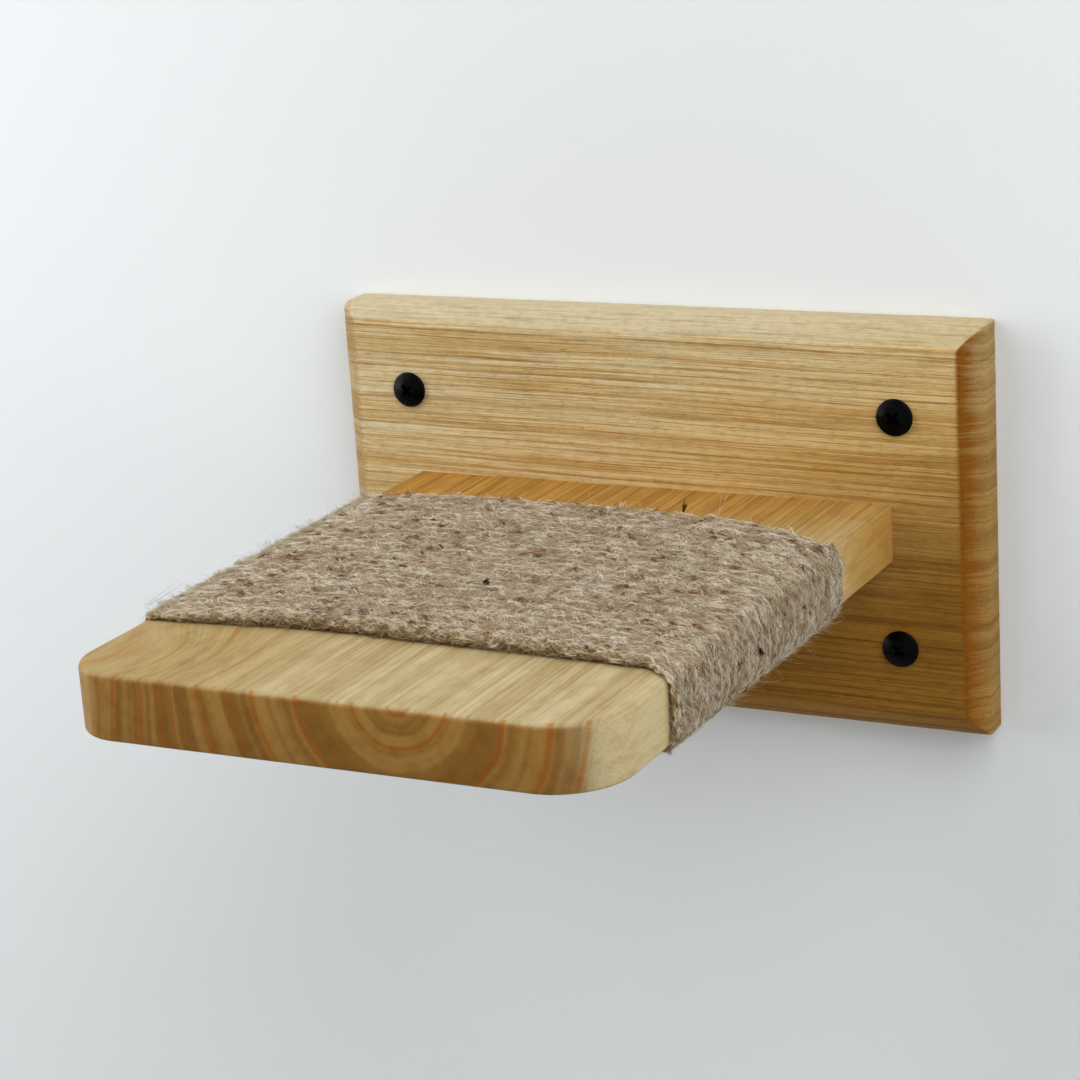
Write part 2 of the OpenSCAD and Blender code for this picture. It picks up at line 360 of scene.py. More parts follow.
    def _zone(
        self, tree: Tree, tones: PineTones, late: tuple[Socket, Socket], ring: Socket, end_share: Socket
    ) -> Socket:
        """Adds the colours of one zone of the board.

        Args:
            tree: Node tree that takes the nodes.
            tones: The zone's colours.
            late: How much late wood a face shows, and how much end grain shows.
            ring: How much of the year line shows.
            end_share: How much of the end grain the surface shows.

        Returns:
            The zone's colour.
        """
        face, end = [
            add(tree, "Mix MIX", {FACTOR: share, A: pale, B: dark})
            for share, pale, dark in zip(late, (tones.early, tones.end_early), (tones.late, tones.end_late))
        ]
        body, line = [
            add(tree, "Mix MIX", {FACTOR: end_share, A: on_face, B: on_end})
            for on_face, on_end in ((face, end), (tones.line, tones.end_line))
        ]
        return add(tree, "Mix MIX", {FACTOR: ring, A: body, B: line})

    def _stain_and_shade(self, tree: Tree, place: Socket, along: Socket, lines: Socket, cut_share: Socket) -> Socket:
        """Adds the dark oil that open end grain soaks up along the end bevels' inner edges, in blotches. It
        is partly painted shade there, and painted shade only on the left bevel.

        Args:
            tree: Node tree that takes the nodes.
            place: Place in the object's own axes.
            along: Distance along the fibres.
            lines: How dark the growth is.
            cut_share: How far the surface cuts across the fibres.

        Returns:
            The stain's strength.
        """
        cloud = marks(tree, place, (self.stain_blotch_mm,) * 3, 3.0)
        # The left bevel takes a weaker share, which is painted shade only
        right = add(tree, "Math GREATER_THAN", {0: along, 1: 0.0})
        strong = add(tree, "MapRange", {"Value": right, "To Min": self.painted_shade_left, "To Max": 1.0})
        reach = add(tree, "Math ABSOLUTE", {0: along})
        reach = add(tree, "Math MULTIPLY_ADD", {0: cloud, 1: self.stain_sway_mm * MM, 2: reach})
        start, end = self.stain_mm
        starts, fades = [
            add(tree, "MapRange SMOOTHSTEP", {
                "Value": reach, "From Min": low * MM, "From Max": high * MM, "To Min": first, "To Max": last,
            })
            for low, high, first, last in (
                (start - 0.8, start + 0.4, 0.0, 1.0), (start, end, self.stain_share, 0.0),
            )
        ]
        band = add(tree, "Math MULTIPLY", {0: starts, 1: fades})
        blotch = add(tree, "Math MULTIPLY_ADD", {0: lines, 1: 0.8, 2: cloud})
        soaked_and_shaded = add(tree, "Math MULTIPLY", {0: band, 1: blotch}, use_clamp=True)
        for share in (strong, cut_share):
            soaked_and_shaded = add(tree, "Math MULTIPLY", {0: soaked_and_shaded, 1: share})
        return soaked_and_shaded

    def _heart_and_shade_shares(self, tree: Tree, place: Socket, calm: Socket) -> tuple[Socket, Socket]:
        """Adds the change across the board from pale sapwood to golden and then to darker heartwood. The
        darkening is partly painted shade: under the shelf on the back plate, and towards the rear on the
        shelf.

        Args:
            tree: Node tree that takes the nodes.
            place: Place in the object's own axes.
            calm: How calm the face is, where the heartwood and its painted shade reach further.

        Returns:
            The share of heartwood with its painted shade, and the share of the golden oil tint before it,
            which is partly painted shade as well, from 0 to 1.
        """
        reach = add(tree, "VectorMath DOT_PRODUCT", {0: place, 1: self.heart_and_shade_way}, "Value")
        cloud = marks(tree, place, (self.heart_and_shade_cloud_mm,) * 3, 2.0)
        for share, shift in ((cloud, self.heart_and_shade_sway_mm), (calm, self.facing_heart_and_shade_mm)):
            reach = add(tree, "Math MULTIPLY_ADD", {0: share, 1: shift * MM, 2: reach})
        middle = self.heart_and_shade_sway_mm / 2
        heart_and_shade, oil = [
            add(tree, "MapRange SMOOTHSTEP", {
                "Value": reach, "From Min": (start + middle) * MM, "From Max": (end + middle) * MM,
            })
            for start, end in (self.heart_and_shade_mm, self.oil_mm)
        ]
        return heart_and_shade, oil

    def _radius(self, tree: Tree, grain: Socket, place: Socket) -> tuple[Socket, Socket | float]:
        """Adds the distance from the pith, swaying a little and bent round a swirl.

        Args:
            tree: Node tree that takes the nodes.
            grain: Place in the board, with the third axis along the fibres.
            place: Place in the object's own axes.

        Returns:
            The distance in metres, and how strongly the year lines show there.
        """
        sway = marks(tree, grain, self.sway_sizes_mm, 3.0).node.outputs["Color"]
        across = self.sway_mm * MM
        bent = add(tree, "VectorMath MULTIPLY_ADD", {0: sway, 1: (across, across, 0.0), 2: grain})
        flat = add(tree, "VectorMath MULTIPLY", {0: bent, 1: (1.0, 1.0, 0.0)})
        pith = [part * MM + across / 2 for part in self.pith_mm]
        radius = add(tree, "VectorMath DISTANCE", {0: flat, 1: (*pith, 0.0)}, "Value")
        if not self.swirl_mm:
            return radius, 1.0
        middle = [part * MM for part in self.swirl_place_mm]
        reach = add(tree, "VectorMath DISTANCE", {0: place, 1: middle}, "Value")
        bulge, near = [
            add(tree, "MapRange SMOOTHERSTEP", {
                "Value": reach, "From Max": far * MM, "To Min": full, "To Max": rest,
            })
            for far, full, rest in (
                (self.swirl_reach_mm, self.swirl_mm * MM, 0.0),
                (2 * self.swirl_reach_mm, 1.0, self.swirl_far),
            )
        ]
        return add(tree, "Math ADD", {0: radius, 1: bulge}), near

    def _lines(self, tree: Tree, growth: Socket) -> tuple[Socket, Socket]:
        """Adds the irregular growth lines, which start and end along the board, and broad bands among them.

        Args:
            tree: Node tree that takes the nodes.
            growth: Distance from the pith on the first axis and along the fibres on the third.

        Returns:
            How dark the growth is, from 0 to 1, with its lines and with its bands alone.
        """
        fine, broad = [
            marks(tree, growth, (across, 1.0, run), detail, self.line_rough)
            for across, run, detail in (
                (self.line_mm, self.line_run_mm, 3.5), (self.band_mm, self.band_run_mm, 1.0),
            )
        ]
        grown = add(tree, "Math MULTIPLY_ADD", {0: broad, 1: self.band_share, 2: fine})
        lines, bands = [
            add(tree, "MapRange SMOOTHSTEP", {"Value": value, "From Min": low, "From Max": high})
            for value, (low, high) in ((grown, self.line_range), (broad, self.band_range))
        ]
        return lines, bands

    def _rings(self, tree: Tree, radius: Socket, growth: Socket) -> Socket:
        """Adds the thin dark line that ends each year, stronger in some places than in others.

        Args:
            tree: Node tree that takes the nodes.
            radius: Distance from the pith.
            growth: The same distance on the first axis, and that along the fibres on the third.

        Returns:
            The line's strength, from 0 to 1.
        """
        years = add(tree, "Math DIVIDE", {0: radius, 1: self.ring_mm * MM})
        wave = {"W": years, "Scale": self.year_wave, "Detail": 2.0}
        uneven = add(tree, "TexNoise", wave, noise_dimensions="1D")
        count = add(tree, "Math MULTIPLY_ADD", {0: uneven, 1: self.year_sway, 2: years})
        line = add(tree, "ValToRGB", {0: add(tree, "Math FRACT", {0: count})}, stops=[
            (0.0, "#000000"), (0.75, "#000000"), (0.9, "#FFFFFF"), (0.94, "#FFFFFF"), (1.0, "#000000"),
        ])
        worn = marks(tree, growth, (self.ring_mm, 1.0, self.break_mm), 3.0)
        strength = add(tree, "MapRange", {
            "Value": worn, "From Min": self.break_range[0], "From Max": self.break_range[1],
            "To Min": 1 - self.break_depth, "To Max": 1.0,
        })
        return add(tree, "Math MULTIPLY", {0: line, 1: strength})


@dataclass(frozen=True)
class TwistedJute(Finish):
    """Twisted jute yarn: dull bast fibres that follow the twist, dark between the loose fibres above them and
    in the ply grooves, which is painted shade.
    """

    name: str = "jute_yarn_twisted"
    fibre_mm: float = 0.35
    tuft_mm: float = 1.6
    length_mm: float = 6.0

    def look(self, tree: Tree) -> Links:
        """Lays streaks along the yarn's plies.

        Args:
            tree: Node tree that takes the nodes.

        Returns:
            What feeds the shader's sockets.
        """
        lay = add(tree, "Attribute", out="Vector", attribute_name="ply_lay")
        fine, coarse = [
            marks(tree, lay, (across, across, self.length_mm), 3.0, 0.65)
            for across in (self.fibre_mm, self.tuft_mm)
        ]
        # The yarn's body is coloured darker than the loose fibres over it, painted shade between them, with
        # real streaks along the plies
        colour = add(tree, "ValToRGB", {0: fine}, stops=[
            (0.3, "#3C2A18"), (0.44, "#6C583E"), (0.56, "#9A866A"), (0.7, "#BDAE91"),
        ])
        # Painted shade in the grooves between the plies
        groove = add(tree, "Attribute", out="Fac", attribute_name="ply_groove")
        rust = add(tree, "MapRange SMOOTHSTEP", {
            "Value": coarse, "From Min": 0.58, "From Max": 0.7, "To Max": 0.7,
        })
        for blend, share, tone in (("MULTIPLY", groove, "#5E3A26"), ("MIX", rust, "#7E5230")):
            colour = add(tree, "Mix " + blend, {FACTOR: share, A: colour, B: tone})
        return {
            "Base Color": colour, "Roughness": 0.92, "IOR": 1.5, "Specular IOR Level": 0.05,
            "Sheen Weight": 0.1, "Sheen Roughness": 0.6,
            "Normal": add(tree, "Bump", {"Strength": 0.9, "Distance": 0.3 * MM, "Height": fine}),
        }


@dataclass(frozen=True)
class BastFibre(Finish):
    """Loose bast fibre, combed out of the yarn: dry, dull and of one colour."""

    name: str
    colour: str

    def look(self, tree: Tree) -> Links:
        """Gives the fibre's one colour and its dull surface."""
        return {"Base Color": self.colour, "Roughness": 0.9, "IOR": 1.5, "Specular IOR Level": 0.05}


@dataclass(frozen=True)
class BlackLacquer(Finish):
    """Black lacquered steel: satin, with a faint orange peel."""

    name: str = "steel_black_lacquered"
    peel_mm: float = 0.5

    def look(self, tree: Tree) -> Links:
        """Lays the peel over the lacquer.

        Args:
            tree: Node tree that takes the nodes.

        Returns:
            What feeds the shader's sockets.
        """
        peel = marks(tree, add(tree, "TexCoord", out="Object"), (self.peel_mm,) * 3, 2.0)
        return {
            "Base Color": add(tree, "ValToRGB", {0: peel}, stops=[(0.35, "#010101"), (0.7, "#060606")]),
            "Roughness": add(tree, "MapRange", {"Value": peel, "To Min": 0.2, "To Max": 0.34}),
            "Normal": add(tree, "Bump", {"Strength": 0.35, "Distance": 0.05 * MM, "Height": peel}),
            "IOR": 1.45, "Specular IOR Level": 0.05,
        }


@dataclass(frozen=True)
class ZincSteel(Finish):
    """Zinc plated steel: pale bluish metal with a cloudy yellow bloom."""

    name: str = "steel_zinc_plated"
    bloom_mm: float = 2.5

    def look(self, tree: Tree) -> Links:
        """Lays the bloom over the plating.

        Args:
            tree: Node tree that takes the nodes.

        Returns:
            What feeds the shader's sockets.
        """
        bloom = marks(tree, add(tree, "TexCoord", out="Object"), (self.bloom_mm,) * 3, 3.0)
        return {
            "Base Color": add(tree, "ValToRGB", {0: bloom}, stops=[
                (0.35, "#B9BCC0"), (0.55, "#CFCBBB"), (0.72, "#C8B88A"),
            ]),
            "Metallic": 1.0,
            "Roughness": add(tree, "MapRange", {"Value": bloom, "To Min": 0.28, "To Max": 0.5}),
            "Normal": add(tree, "Bump", {"Strength": 0.3, "Distance": 0.04 * MM, "Height": bloom}),
        }


@dataclass(frozen=True)
class TurnedBeech(Finish):
    """Turned beech: pinkish tan with short brown flecks along the pin."""

    name: str = "beech_turned"
    fleck_mm: float = 0.5
    fleck_length_mm: float = 3.0

    def look(self, tree: Tree) -> Links:
        """Scatters the flecks.

        Args:
            tree: Node tree that takes the nodes.

        Returns:
            What feeds the shader's sockets.
        """
        sizes_mm = (self.fleck_mm, self.fleck_length_mm, self.fleck_mm)
        flecks = marks(tree, add(tree, "TexCoord", out="Object"), sizes_mm, 2.0)
        return {
            "Base Color": add(tree, "ValToRGB", {0: flecks}, stops=[
                (0.35, "#D8B48C"), (0.58, "#CBA078"), (0.7, "#9C6F48"),
            ]),
            "Roughness": 0.6, "IOR": 1.5,
            "Normal": add(tree, "Bump", {"Strength": 0.3, "Distance": 0.05 * MM, "Height": flecks}),
        }


@dataclass(frozen=True)
class PlainPaint(Finish):
    """Plain matt paint of the backdrop, open on its rear side so that the part shows from behind."""

    name: str
    colour: str

    def surface(self, tree: Tree) -> Socket:
        """Adds the paint to a node tree, clear on its rear side, and gives its output."""
        sides = {1: super().surface(tree), 2: add(tree, "BsdfTransparent")}
        return add(tree, "MixShader", {0: add(tree, "NewGeometry", out="Backfacing"), **sides})

    def look(self, tree: Tree) -> Links:
        """Gives the paint's colour and its matt surface."""
        return {"Base Color": self.colour, "Roughness": 0.9, "Specular IOR Level": 0.1}


def put(name: str, data: bpy.types.ID) -> bpy.types.Object:
    """Adds an object to the scene.

    Args:
        name: The object's name.
        data: Its mesh, lamp or camera.

    Returns:
        The object.
    """
    item = bpy.data.objects.new(name, data)
    bpy.context.scene.collection.objects.link(item)
    return item


def make_mesh(name: str, points: np.ndarray, faces: list[list[int]]) -> Mesh:
    """Makes a smooth-shaded mesh.

    Args:
        name: The mesh's name.
        points: Corner points in metres, one row each.
        faces: Point numbers of each face.

    Returns:
        The mesh.
    """
    mesh = bpy.data.meshes.new(name)
    mesh.from_pydata(points.tolist(), [], faces)
    mesh.shade_smooth()
    mesh.update()
    return mesh


def place_piece(mesh: Mesh, finish: Material, slot: str, *nodes: str) -> None:
    """Turns a mesh into a piece of the part, under the mesh's name.

    Args:
        mesh: The piece's mesh.
        finish: Its material.
        slot: Name of a material slot; not used.
        nodes: CAD nodes that the piece stands for.
    """
    piece = put(mesh.name, mesh)
    mesh.materials.append(finish)
    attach(piece, BODY)
    if nodes:
        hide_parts(*nodes)
    LOG.info("%s: %d points, %d faces", piece.name, len(mesh.vertices), len(mesh.polygons))


def rounded_profile(corners: Profile, reaches: list[float], steps: int) -> Profile:
    """Rounds the inner corners of a profile with short parabolas.

    Args:
        corners: The profile's points.
        reaches: How far each inner corner's rounding runs along its two sides.
        steps: Number of pieces in each rounding.

    Returns:
        The rounded profile.
    """
    out: Profile = [corners[0]]
    for before, corner, after, reach in zip(corners, corners[1:], corners[2:], reaches):
        here = np.array(corner)
        ways = [np.array(other) - here for other in (before, after)]
        first, last = [here + reach * way / np.linalg.norm(way) for way in ways]
        for t in np.arange(steps + 1) / steps:
            point = (1 - t) ** 2 * first + 2 * t * (1 - t) * here + t * t * last
            out.append((float(point[0]), float(point[1])))
    out.append(corners[-1])
    return out


def loft(loops: list[np.ndarray]) -> Skin:
    """Joins closed loops of equal count into one closed skin with flat ends.

    Args:
        loops: Loops of points, each anticlockwise seen from the last loop's side.

    Returns:
        The points and the faces.
    """
    count, top = len(loops[0]), (len(loops) - 1) * len(loops[0])
    faces = [list(range(count))[::-1]]
    for low in range(0, top, count):
        high = low + count
        faces += [[low + i, low + (i + 1) % count, high + (i + 1) % count, high + i] for i in range(count)]
    faces.append(list(range(top, top + count)))
    return np.concatenate(loops), faces


def lathe(profile: Profile, sides: int) -> Skin:
    """Turns a profile of radius and height about +Z, with pointed ends.

    Args:
        profile: Radius and height from the bottom up, first and last on the axis.
        sides: Number of sides.

    Returns:
        The points and the faces.
    """
    turns = [2 * math.pi * k / sides for k in range(sides)]
    points = [(0.0, 0.0, profile[0][1])]
    for radius, height in profile[1:-1]:
        points += [(radius * math.cos(a), radius * math.sin(a), height) for a in turns]
    points.append((0.0, 0.0, profile[-1][1]))
    tip, top = len(points) - 1, len(points) - 1 - sides
    faces = [[0, 1 + (k + 1) % sides, 1 + k] for k in range(sides)]
    for low in range(1, top, sides):
        high = low + sides
        faces += [[low + k, low + (k + 1) % sides, high + (k + 1) % sides, high + k] for k in range(sides)]
    faces += [[top + k, top + (k + 1) % sides, tip] for k in range(sides)]
    return np.array(points), faces


def ripple(point: np.ndarray | Point, size: float, seed: float) -> float:
    """Gives smooth noise at a point.

    Args:
        point: Place in metres.
        size: Size of a wave in metres.
        seed: Shift that sets one use apart from another.

    Returns:
        A value from about -1 to 1.
    """
    return noise.noise(Vector(point) / size + Vector((seed, 2.3 * seed, -seed)))


def carve(mesh: Mesh, cutters: list[Mesh], operation: str) -> Mesh:
    """Cuts or joins closed meshes with exact booleans.

    Args:
        mesh: The mesh to change.
        cutters: Meshes that are taken away or added.
        operation: "DIFFERENCE" or "UNION".

    Returns:
        A new mesh with the result, under the first mesh's name.
    """
    name = mesh.name
    work = put("work", mesh)
    tools = [put("tool", cutter) for cutter in cutters]
    for tool in tools:
        step = work.modifiers.new("cut", "BOOLEAN")
        step.operation, step.solver, step.object = operation, "EXACT", tool
    bpy.context.view_layer.update()
    result = bpy.data.meshes.new_from_object(work.evaluated_get(bpy.context.evaluated_depsgraph_get()))
    for item in [work, *tools]:
        bpy.data.objects.remove(item)
    mesh.name = "spent"
    result.name = name
    return result


def crisp(mesh: Mesh, degrees: float) -> None:
    """Keeps a mesh's edges sharper than an angle in degrees crisp, and shades the rest smooth."""
    mesh.shade_smooth()
    mesh.set_sharp_from_angle(angle=math.radians(degrees))


def draw_in(points: np.ndarray) -> np.ndarray:
    """Narrows the shelf's right side a little towards its front, as the sawn board does.

    Args:
        points: Points of the shelf, or of the rope round it.

    Returns:
        The moved points.
    """
    low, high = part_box("shelf_board")
    front = np.clip((high.y - points[..., 1]) / (high.y - low.y), 0, 1)
    right = np.clip(points[..., 0] / high.x, 0, 1)
    moved = points.copy()
    moved[..., 0] -= FRONT_NARROW * front * right
    return moved


@dataclass
class BackPlate:
    """The bevelled board against the wall, with its drilled and countersunk holes."""

    bevel_w: float = 7.2 * MM
    bevel_d: float = 6.8 * MM
    corner_r: float = 1.0 * MM
    worn_corner_r: float = 4.2 * MM
    least_corner_r: float = 0.4 * MM
    corner_steps: int = 6
    back_edge: float = 0.7 * MM
    outer_edge: float = 1.5 * MM
    inner_edge: float = 2.2 * MM
    edge_steps: int = 4
    point_step: float = 1.5 * MM
    wander: float = 0.4 * MM
    tooling: float = 0.08 * MM
    narrow_top_left: float = 1.9 * MM
    narrow_top_right: float = 0.4 * MM
    narrow_right_foot: float = 1.2 * MM
    wall_hole_r: float = 2.75 * MM
    sunk_hole_r: float = 4.05 * MM
    sunk_rim: float = 0.3 * MM
    sunk_depth: float = 3.2 * MM
    shelf_hole_r: float = 2.1 * MM
    overrun: float = 1.0 * MM

    def build(self) -> Mesh:
        """Lofts the plate from its back face to its front face and drills it.

        Returns:
            The plate's mesh.
        """
        low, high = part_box("back_plate")
        self.half_w, self.half_h, self.depth = high.x, high.z, high.y - low.y
        section = rounded_profile(
            [(2 * self.back_edge, 0.0), (0.0, 0.0), (0.0, self.bevel_d - self.depth),
             (self.bevel_w, -self.depth), (self.bevel_w + 2 * self.inner_edge, -self.depth)],
            [self.back_edge, self.outer_edge, self.inner_edge], self.edge_steps,
        )
        mesh = make_mesh("back_plate_board", *loft([self._loop(inset, y) for inset, y in section]))
        mesh = carve(mesh, self._drills(), "DIFFERENCE")
        crisp(mesh, 32.0)
        return mesh

    def _loop(self, inset: float, y: float) -> np.ndarray:
        """Gives one outline of the plate, wandering a little as a hand-planed edge does.

        Args:
            inset: Distance in from the plate's outer edges.
            y: Depth of the outline.

        Returns:
            The outline's points, anticlockwise seen from the front.
        """
        half_w, half_h = self.half_w - inset, self.half_h - inset
        arcs = []
        for k, (sx, sz) in enumerate(((1, -1), (1, 1), (-1, 1), (-1, -1))):
            full_r = self.worn_corner_r if (sx, sz) == (-1, 1) else self.corner_r
            radius = max(full_r - 0.6 * inset, self.least_corner_r)
            centre = np.array([sx * (half_w - radius), sz * (half_h - radius)])
            turns = math.pi / 2 * (k - 1 + np.arange(self.corner_steps + 1) / self.corner_steps)
            arcs.append(centre + radius * np.stack([np.cos(turns), np.sin(turns)], axis=-1))
        outline = []
        for k, arc in enumerate(arcs):
            start, end = arc[-1], arcs[(k + 1) % 4][0]
            steps = round(2 * (self.half_w if k % 2 else self.half_h) / self.point_step)
            outline += [*arc, *(start + (end - start) * i / steps for i in range(1, steps))]
        loop = np.array([(x, y, z) for x, z in outline])
        near = min(1.0, inset / self.bevel_w)
        for p in loop:
            axis = 2 if abs(p[2]) / half_h > abs(p[0]) / half_w else 0
            sway = self.wander * near * (ripple(p, 70 * MM, 3.0) + 0.5 * ripple(p, 16 * MM, 5.0))
            p[axis] += math.copysign(1, p[axis]) * (sway + self.tooling * ripple(p, 6 * MM, 8.0))
            leftward, downward = 0.5 - p[0] / (2 * self.half_w), 0.5 - p[2] / (2 * self.half_h)
            top = self.narrow_top_right + (self.narrow_top_left - self.narrow_top_right) * leftward
            p[2] += near * top * max(0.0, p[2] / half_h) ** 4
            p[0] += near * self.narrow_right_foot * downward * max(0.0, p[0] / half_w) ** 4
        return loop

    def _drills(self) -> list[Mesh]:
        """Makes the drills for the wall screws and the countersunk shelf screws.

        Returns:
            Closed cutters in place.
        """
        before, behind = self.depth + self.overrun, -self.overrun
        plain, wide, r = self.wall_hole_r, self.sunk_hole_r, self.shelf_hole_r
        profiles = {
            "wall_screw": [(0.0, behind), (plain, behind), (plain, before), (0.0, before)],
            "shelf_screw": [
                (0.0, behind), (wide, behind), (wide, self.sunk_rim),
                (r, self.sunk_depth), (r, before), (0.0, before),
            ],
        }
        drills = []
        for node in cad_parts:
            profile = profiles.get("_".join(node.split("_")[:2]))
            if not profile:
                continue
            low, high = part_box(node)
            middle = (low + high) / 2
            drill = make_mesh("drill", *lathe(profile, 40))
            stand = Matrix.Translation((middle.x, 0, middle.z))
            drill.transform(stand @ Matrix.Rotation(math.pi / 2, 4, "X"))
            drills.append(drill)
        return drills

    def dress(self, mesh: Mesh) -> None:
        """Finishes the plate in brushed pine.

        Args:
            mesh: The plate's mesh.
        """
        sap = PineTones(
            early="#DBCCA4", late="#C4A56A", line="#8A6124",
            end_early="#B29E76", end_late="#967E4E", end_line="#7A5E2E",
        )
        # Darker, warmer tones towards the lower right: partly heartwood, partly painted shade of the shelf's
        # shadow
        heart_and_shade = PineTones(
            early="#9E7B3A", late="#80602B", line="#60441A",
            end_early="#AA9162", end_late="#8C7447", end_line="#624B26",
        )
        pine = PlanedPine(
            name="pine_brushed_oiled", grain=Grain.ALONG_X, pith_mm=(-9.0, 84.0), slope=0.012,
            ring_mm=2.7, face_ring=0.72, end_ring=0.7, line_mm=1.3, line_run_mm=120.0, band_run_mm=160.0,
            end_lines=0.8, end_range=(0.3, 0.8), sap=sap, heart_and_shade=heart_and_shade,
            heart_and_shade_way=(0.4, 0.0, -1.0), heart_and_shade_mm=(-8.0, 64.0), oil="#F9E6BE", oil_mm=(-70.0, 25.0),
            pore="#5E431E", pore_depth=0.32, pore_length_mm=3.0, relief_mm=0.2, streak_depth=0.7,
            break_depth=0.75, mottle_mm=1.6, mottle_depth=0.3,
            # The facing tone is painted shade on the upward-facing top bevel
            calm_axis="Z", calm_range=(0.25, 0.6), facing_light_tone="#BAAF92", facing_light_tint=1.2,
            # The stain is partly painted shade on the right bevel and painted shade only on the left bevel
            stain="#845008", stain_share=1.8, painted_shade_left=0.3, stain_mm=(113.9, 123.0),
        )
        place_piece(mesh, pine.material(), "plate_wood", "back_plate")


@dataclass
class ShelfBoard:
    """The planed board that stands out from the plate, with two round front corners."""

    left_corner_r: float = 17.6 * MM
    right_corner_r: float = 22.0 * MM
    corner_steps: int = 24
    top_edge: float = 1.8 * MM
    under_edge: float = 1.2 * MM
    rear_edge: float = 1.0 * MM
    edge_steps: int = 6
    edge_wear: float = 0.12 * MM
    swell: float = 1.0 * MM
    swell_from: float = 43.0 * MM
    swell_run: float = 20.0 * MM
    swell_right: float = 0.3
    point_step: float = 2.0 * MM

    def build(self) -> Mesh:
        """Lofts the board from its underside to its top.

        Returns:
            The board's mesh.
        """
        self.low, self.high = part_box("shelf_board")
        plan = self._plan()
        loops = []
        for face in (-1, 1):
            for share in (np.arange(self.edge_steps + 1) / self.edge_steps)[::-face]:
                angle = math.pi / 2 * share
                loops.append(draw_in(self._loop(plan, face, 1 - math.sin(angle), 1 - math.cos(angle))))
        mesh = make_mesh("shelf_board_plank", *loft(loops))
        crisp(mesh, 40.0)
        return mesh

    def _plan(self) -> list[tuple[np.ndarray, np.ndarray]]:
        """Gives the board's outline seen from above, from its rear left round the front to its rear right.

        Returns:
            Points with their outward ways.
        """
        left, right, front, rear = self.low.x, self.high.x, self.low.y, self.high.y
        radii = (self.left_corner_r, self.right_corner_r)
        runs = (
            ((left, rear), (left, front + radii[0]), rear - front),
            ((left + radii[0], front), (right - radii[1], front), right - radii[1] - left - radii[0]),
            ((right, front + radii[1]), (right, rear), rear - front),
        )
        plan = []
        for k, (start, end, length) in enumerate(runs):
            way = np.array([(-1.0, 0.0), (0.0, -1.0), (1.0, 0.0)][k])
            first, last = np.array(start), np.array(end)
            steps = round(length / self.point_step)
            closing = k == len(radii)
            plan += [(first + (last - first) * i / steps, way) for i in range(steps + closing)]
            if not closing:
                turns = math.pi * (1 + k / 2 + np.arange(self.corner_steps) / self.corner_steps / 2)
                ways = np.stack([np.cos(turns), np.sin(turns)], axis=-1)
                plan += [(last + radii[k] * (outward - way), outward) for outward in ways]
        return plan

    def _loop(
        self, plan: list[tuple[np.ndarray, np.ndarray]], face: int, in_share: float, drop_share: float
    ) -> np.ndarray:
        """Gives one outline of the board.

        Args:
            plan: The outline seen from above.
            face: -1 for the underside, 1 for the top.
            in_share: Share of the edge rounding that the outline lies in from the sides.
            drop_share: Share of the edge rounding that it lies in from the face.

        Returns:
            The outline's points, anticlockwise seen from above.
        """
        low, high = self.low, self.high
        half_t = (high.z - low.z) / 2
        front_edge = self.top_edge if face > 0 else self.under_edge
        points = []
        for spot, way in plan:
            toward_front = min(1.0, max(0.0, (high.y - spot[1]) / (high.y - low.y)))
            edge = self.rear_edge + (front_edge - self.rear_edge) * toward_front ** 2
            here = (spot[0], spot[1], face * half_t)
            worn = self.edge_wear * (ripple(here, 25 * MM, 11.0) + 0.5 * ripple(here, 7 * MM, 12.0))
            inward = spot - way * (edge * in_share + abs(worn) * (1 - abs(2 * in_share - 1)))
            free = min(1.0, max(0.0, (low.y + self.swell_from - spot[1]) / self.swell_run))
            leftward = (high.x - spot[0]) / (high.x - low.x)
            swell = self.swell * free * (self.swell_right + (1 - self.swell_right) * leftward)
            away = half_t + (swell if face < 0 else 0.0) - edge * drop_share
            points.append((inward[0], min(inward[1], high.y), face * away))
        return np.array(points)

    def dress(self, mesh: Mesh) -> None:
        """Finishes the board in planed pine.

        Args:
            mesh: The board's mesh.
        """
        ends = {"end_early": "#A98041", "end_late": "#8C632B", "end_line": "#A05A1E"}
        pine = PlanedPine(
            name="pine_planed_oiled", grain=Grain.ALONG_Y, pith_mm=(26.0, 13.0), slope=0.0,
            ring_mm=9.5, face_ring=0.7, end_ring=0.9, line_mm=1.5, line_run_mm=300.0, band_run_mm=400.0,
            end_lines=1.0, end_range=(0.55, 1.0),
            sap=PineTones(early="#B3A582", late="#98865A", line="#A3702F", **ends),
            # Darker tones towards the rear: partly heartwood, partly painted shade beside the rope and the
            # plate
            heart_and_shade=PineTones(early="#B8985A", late="#755526", line="#6C4C20", **ends),
            heart_and_shade_way=(-0.45, 1.0, 0.0), heart_and_shade_mm=(-162.0, 58.0), oil="#F6DDAA", oil_mm=(-120.0, -40.0),
            pore="#8E6C3A", pore_depth=0.15, pore_length_mm=5.0, relief_mm=0.05, streak_depth=0.4,
            break_depth=0.7, mottle_mm=5.0, mottle_depth=0.35,
            # The facing tone is painted light on the board's right side face, where the heartwood tones with
            # their painted shade also reach further
            calm_axis="X", calm_range=(0.6, 0.95), facing_light_tone="#C9B98F", facing_light_tint=0.9, facing_heart_and_shade_mm=34.0,
            swirl_place_mm=(-66.0, -218.0, 10.0), swirl_reach_mm=40.0, swirl_mm=13.0, swirl_tint="#E2D4B6",
            swirl_calm=0.55,
        )
        place_piece(mesh, pine.material(), "shelf_wood", "shelf_board")


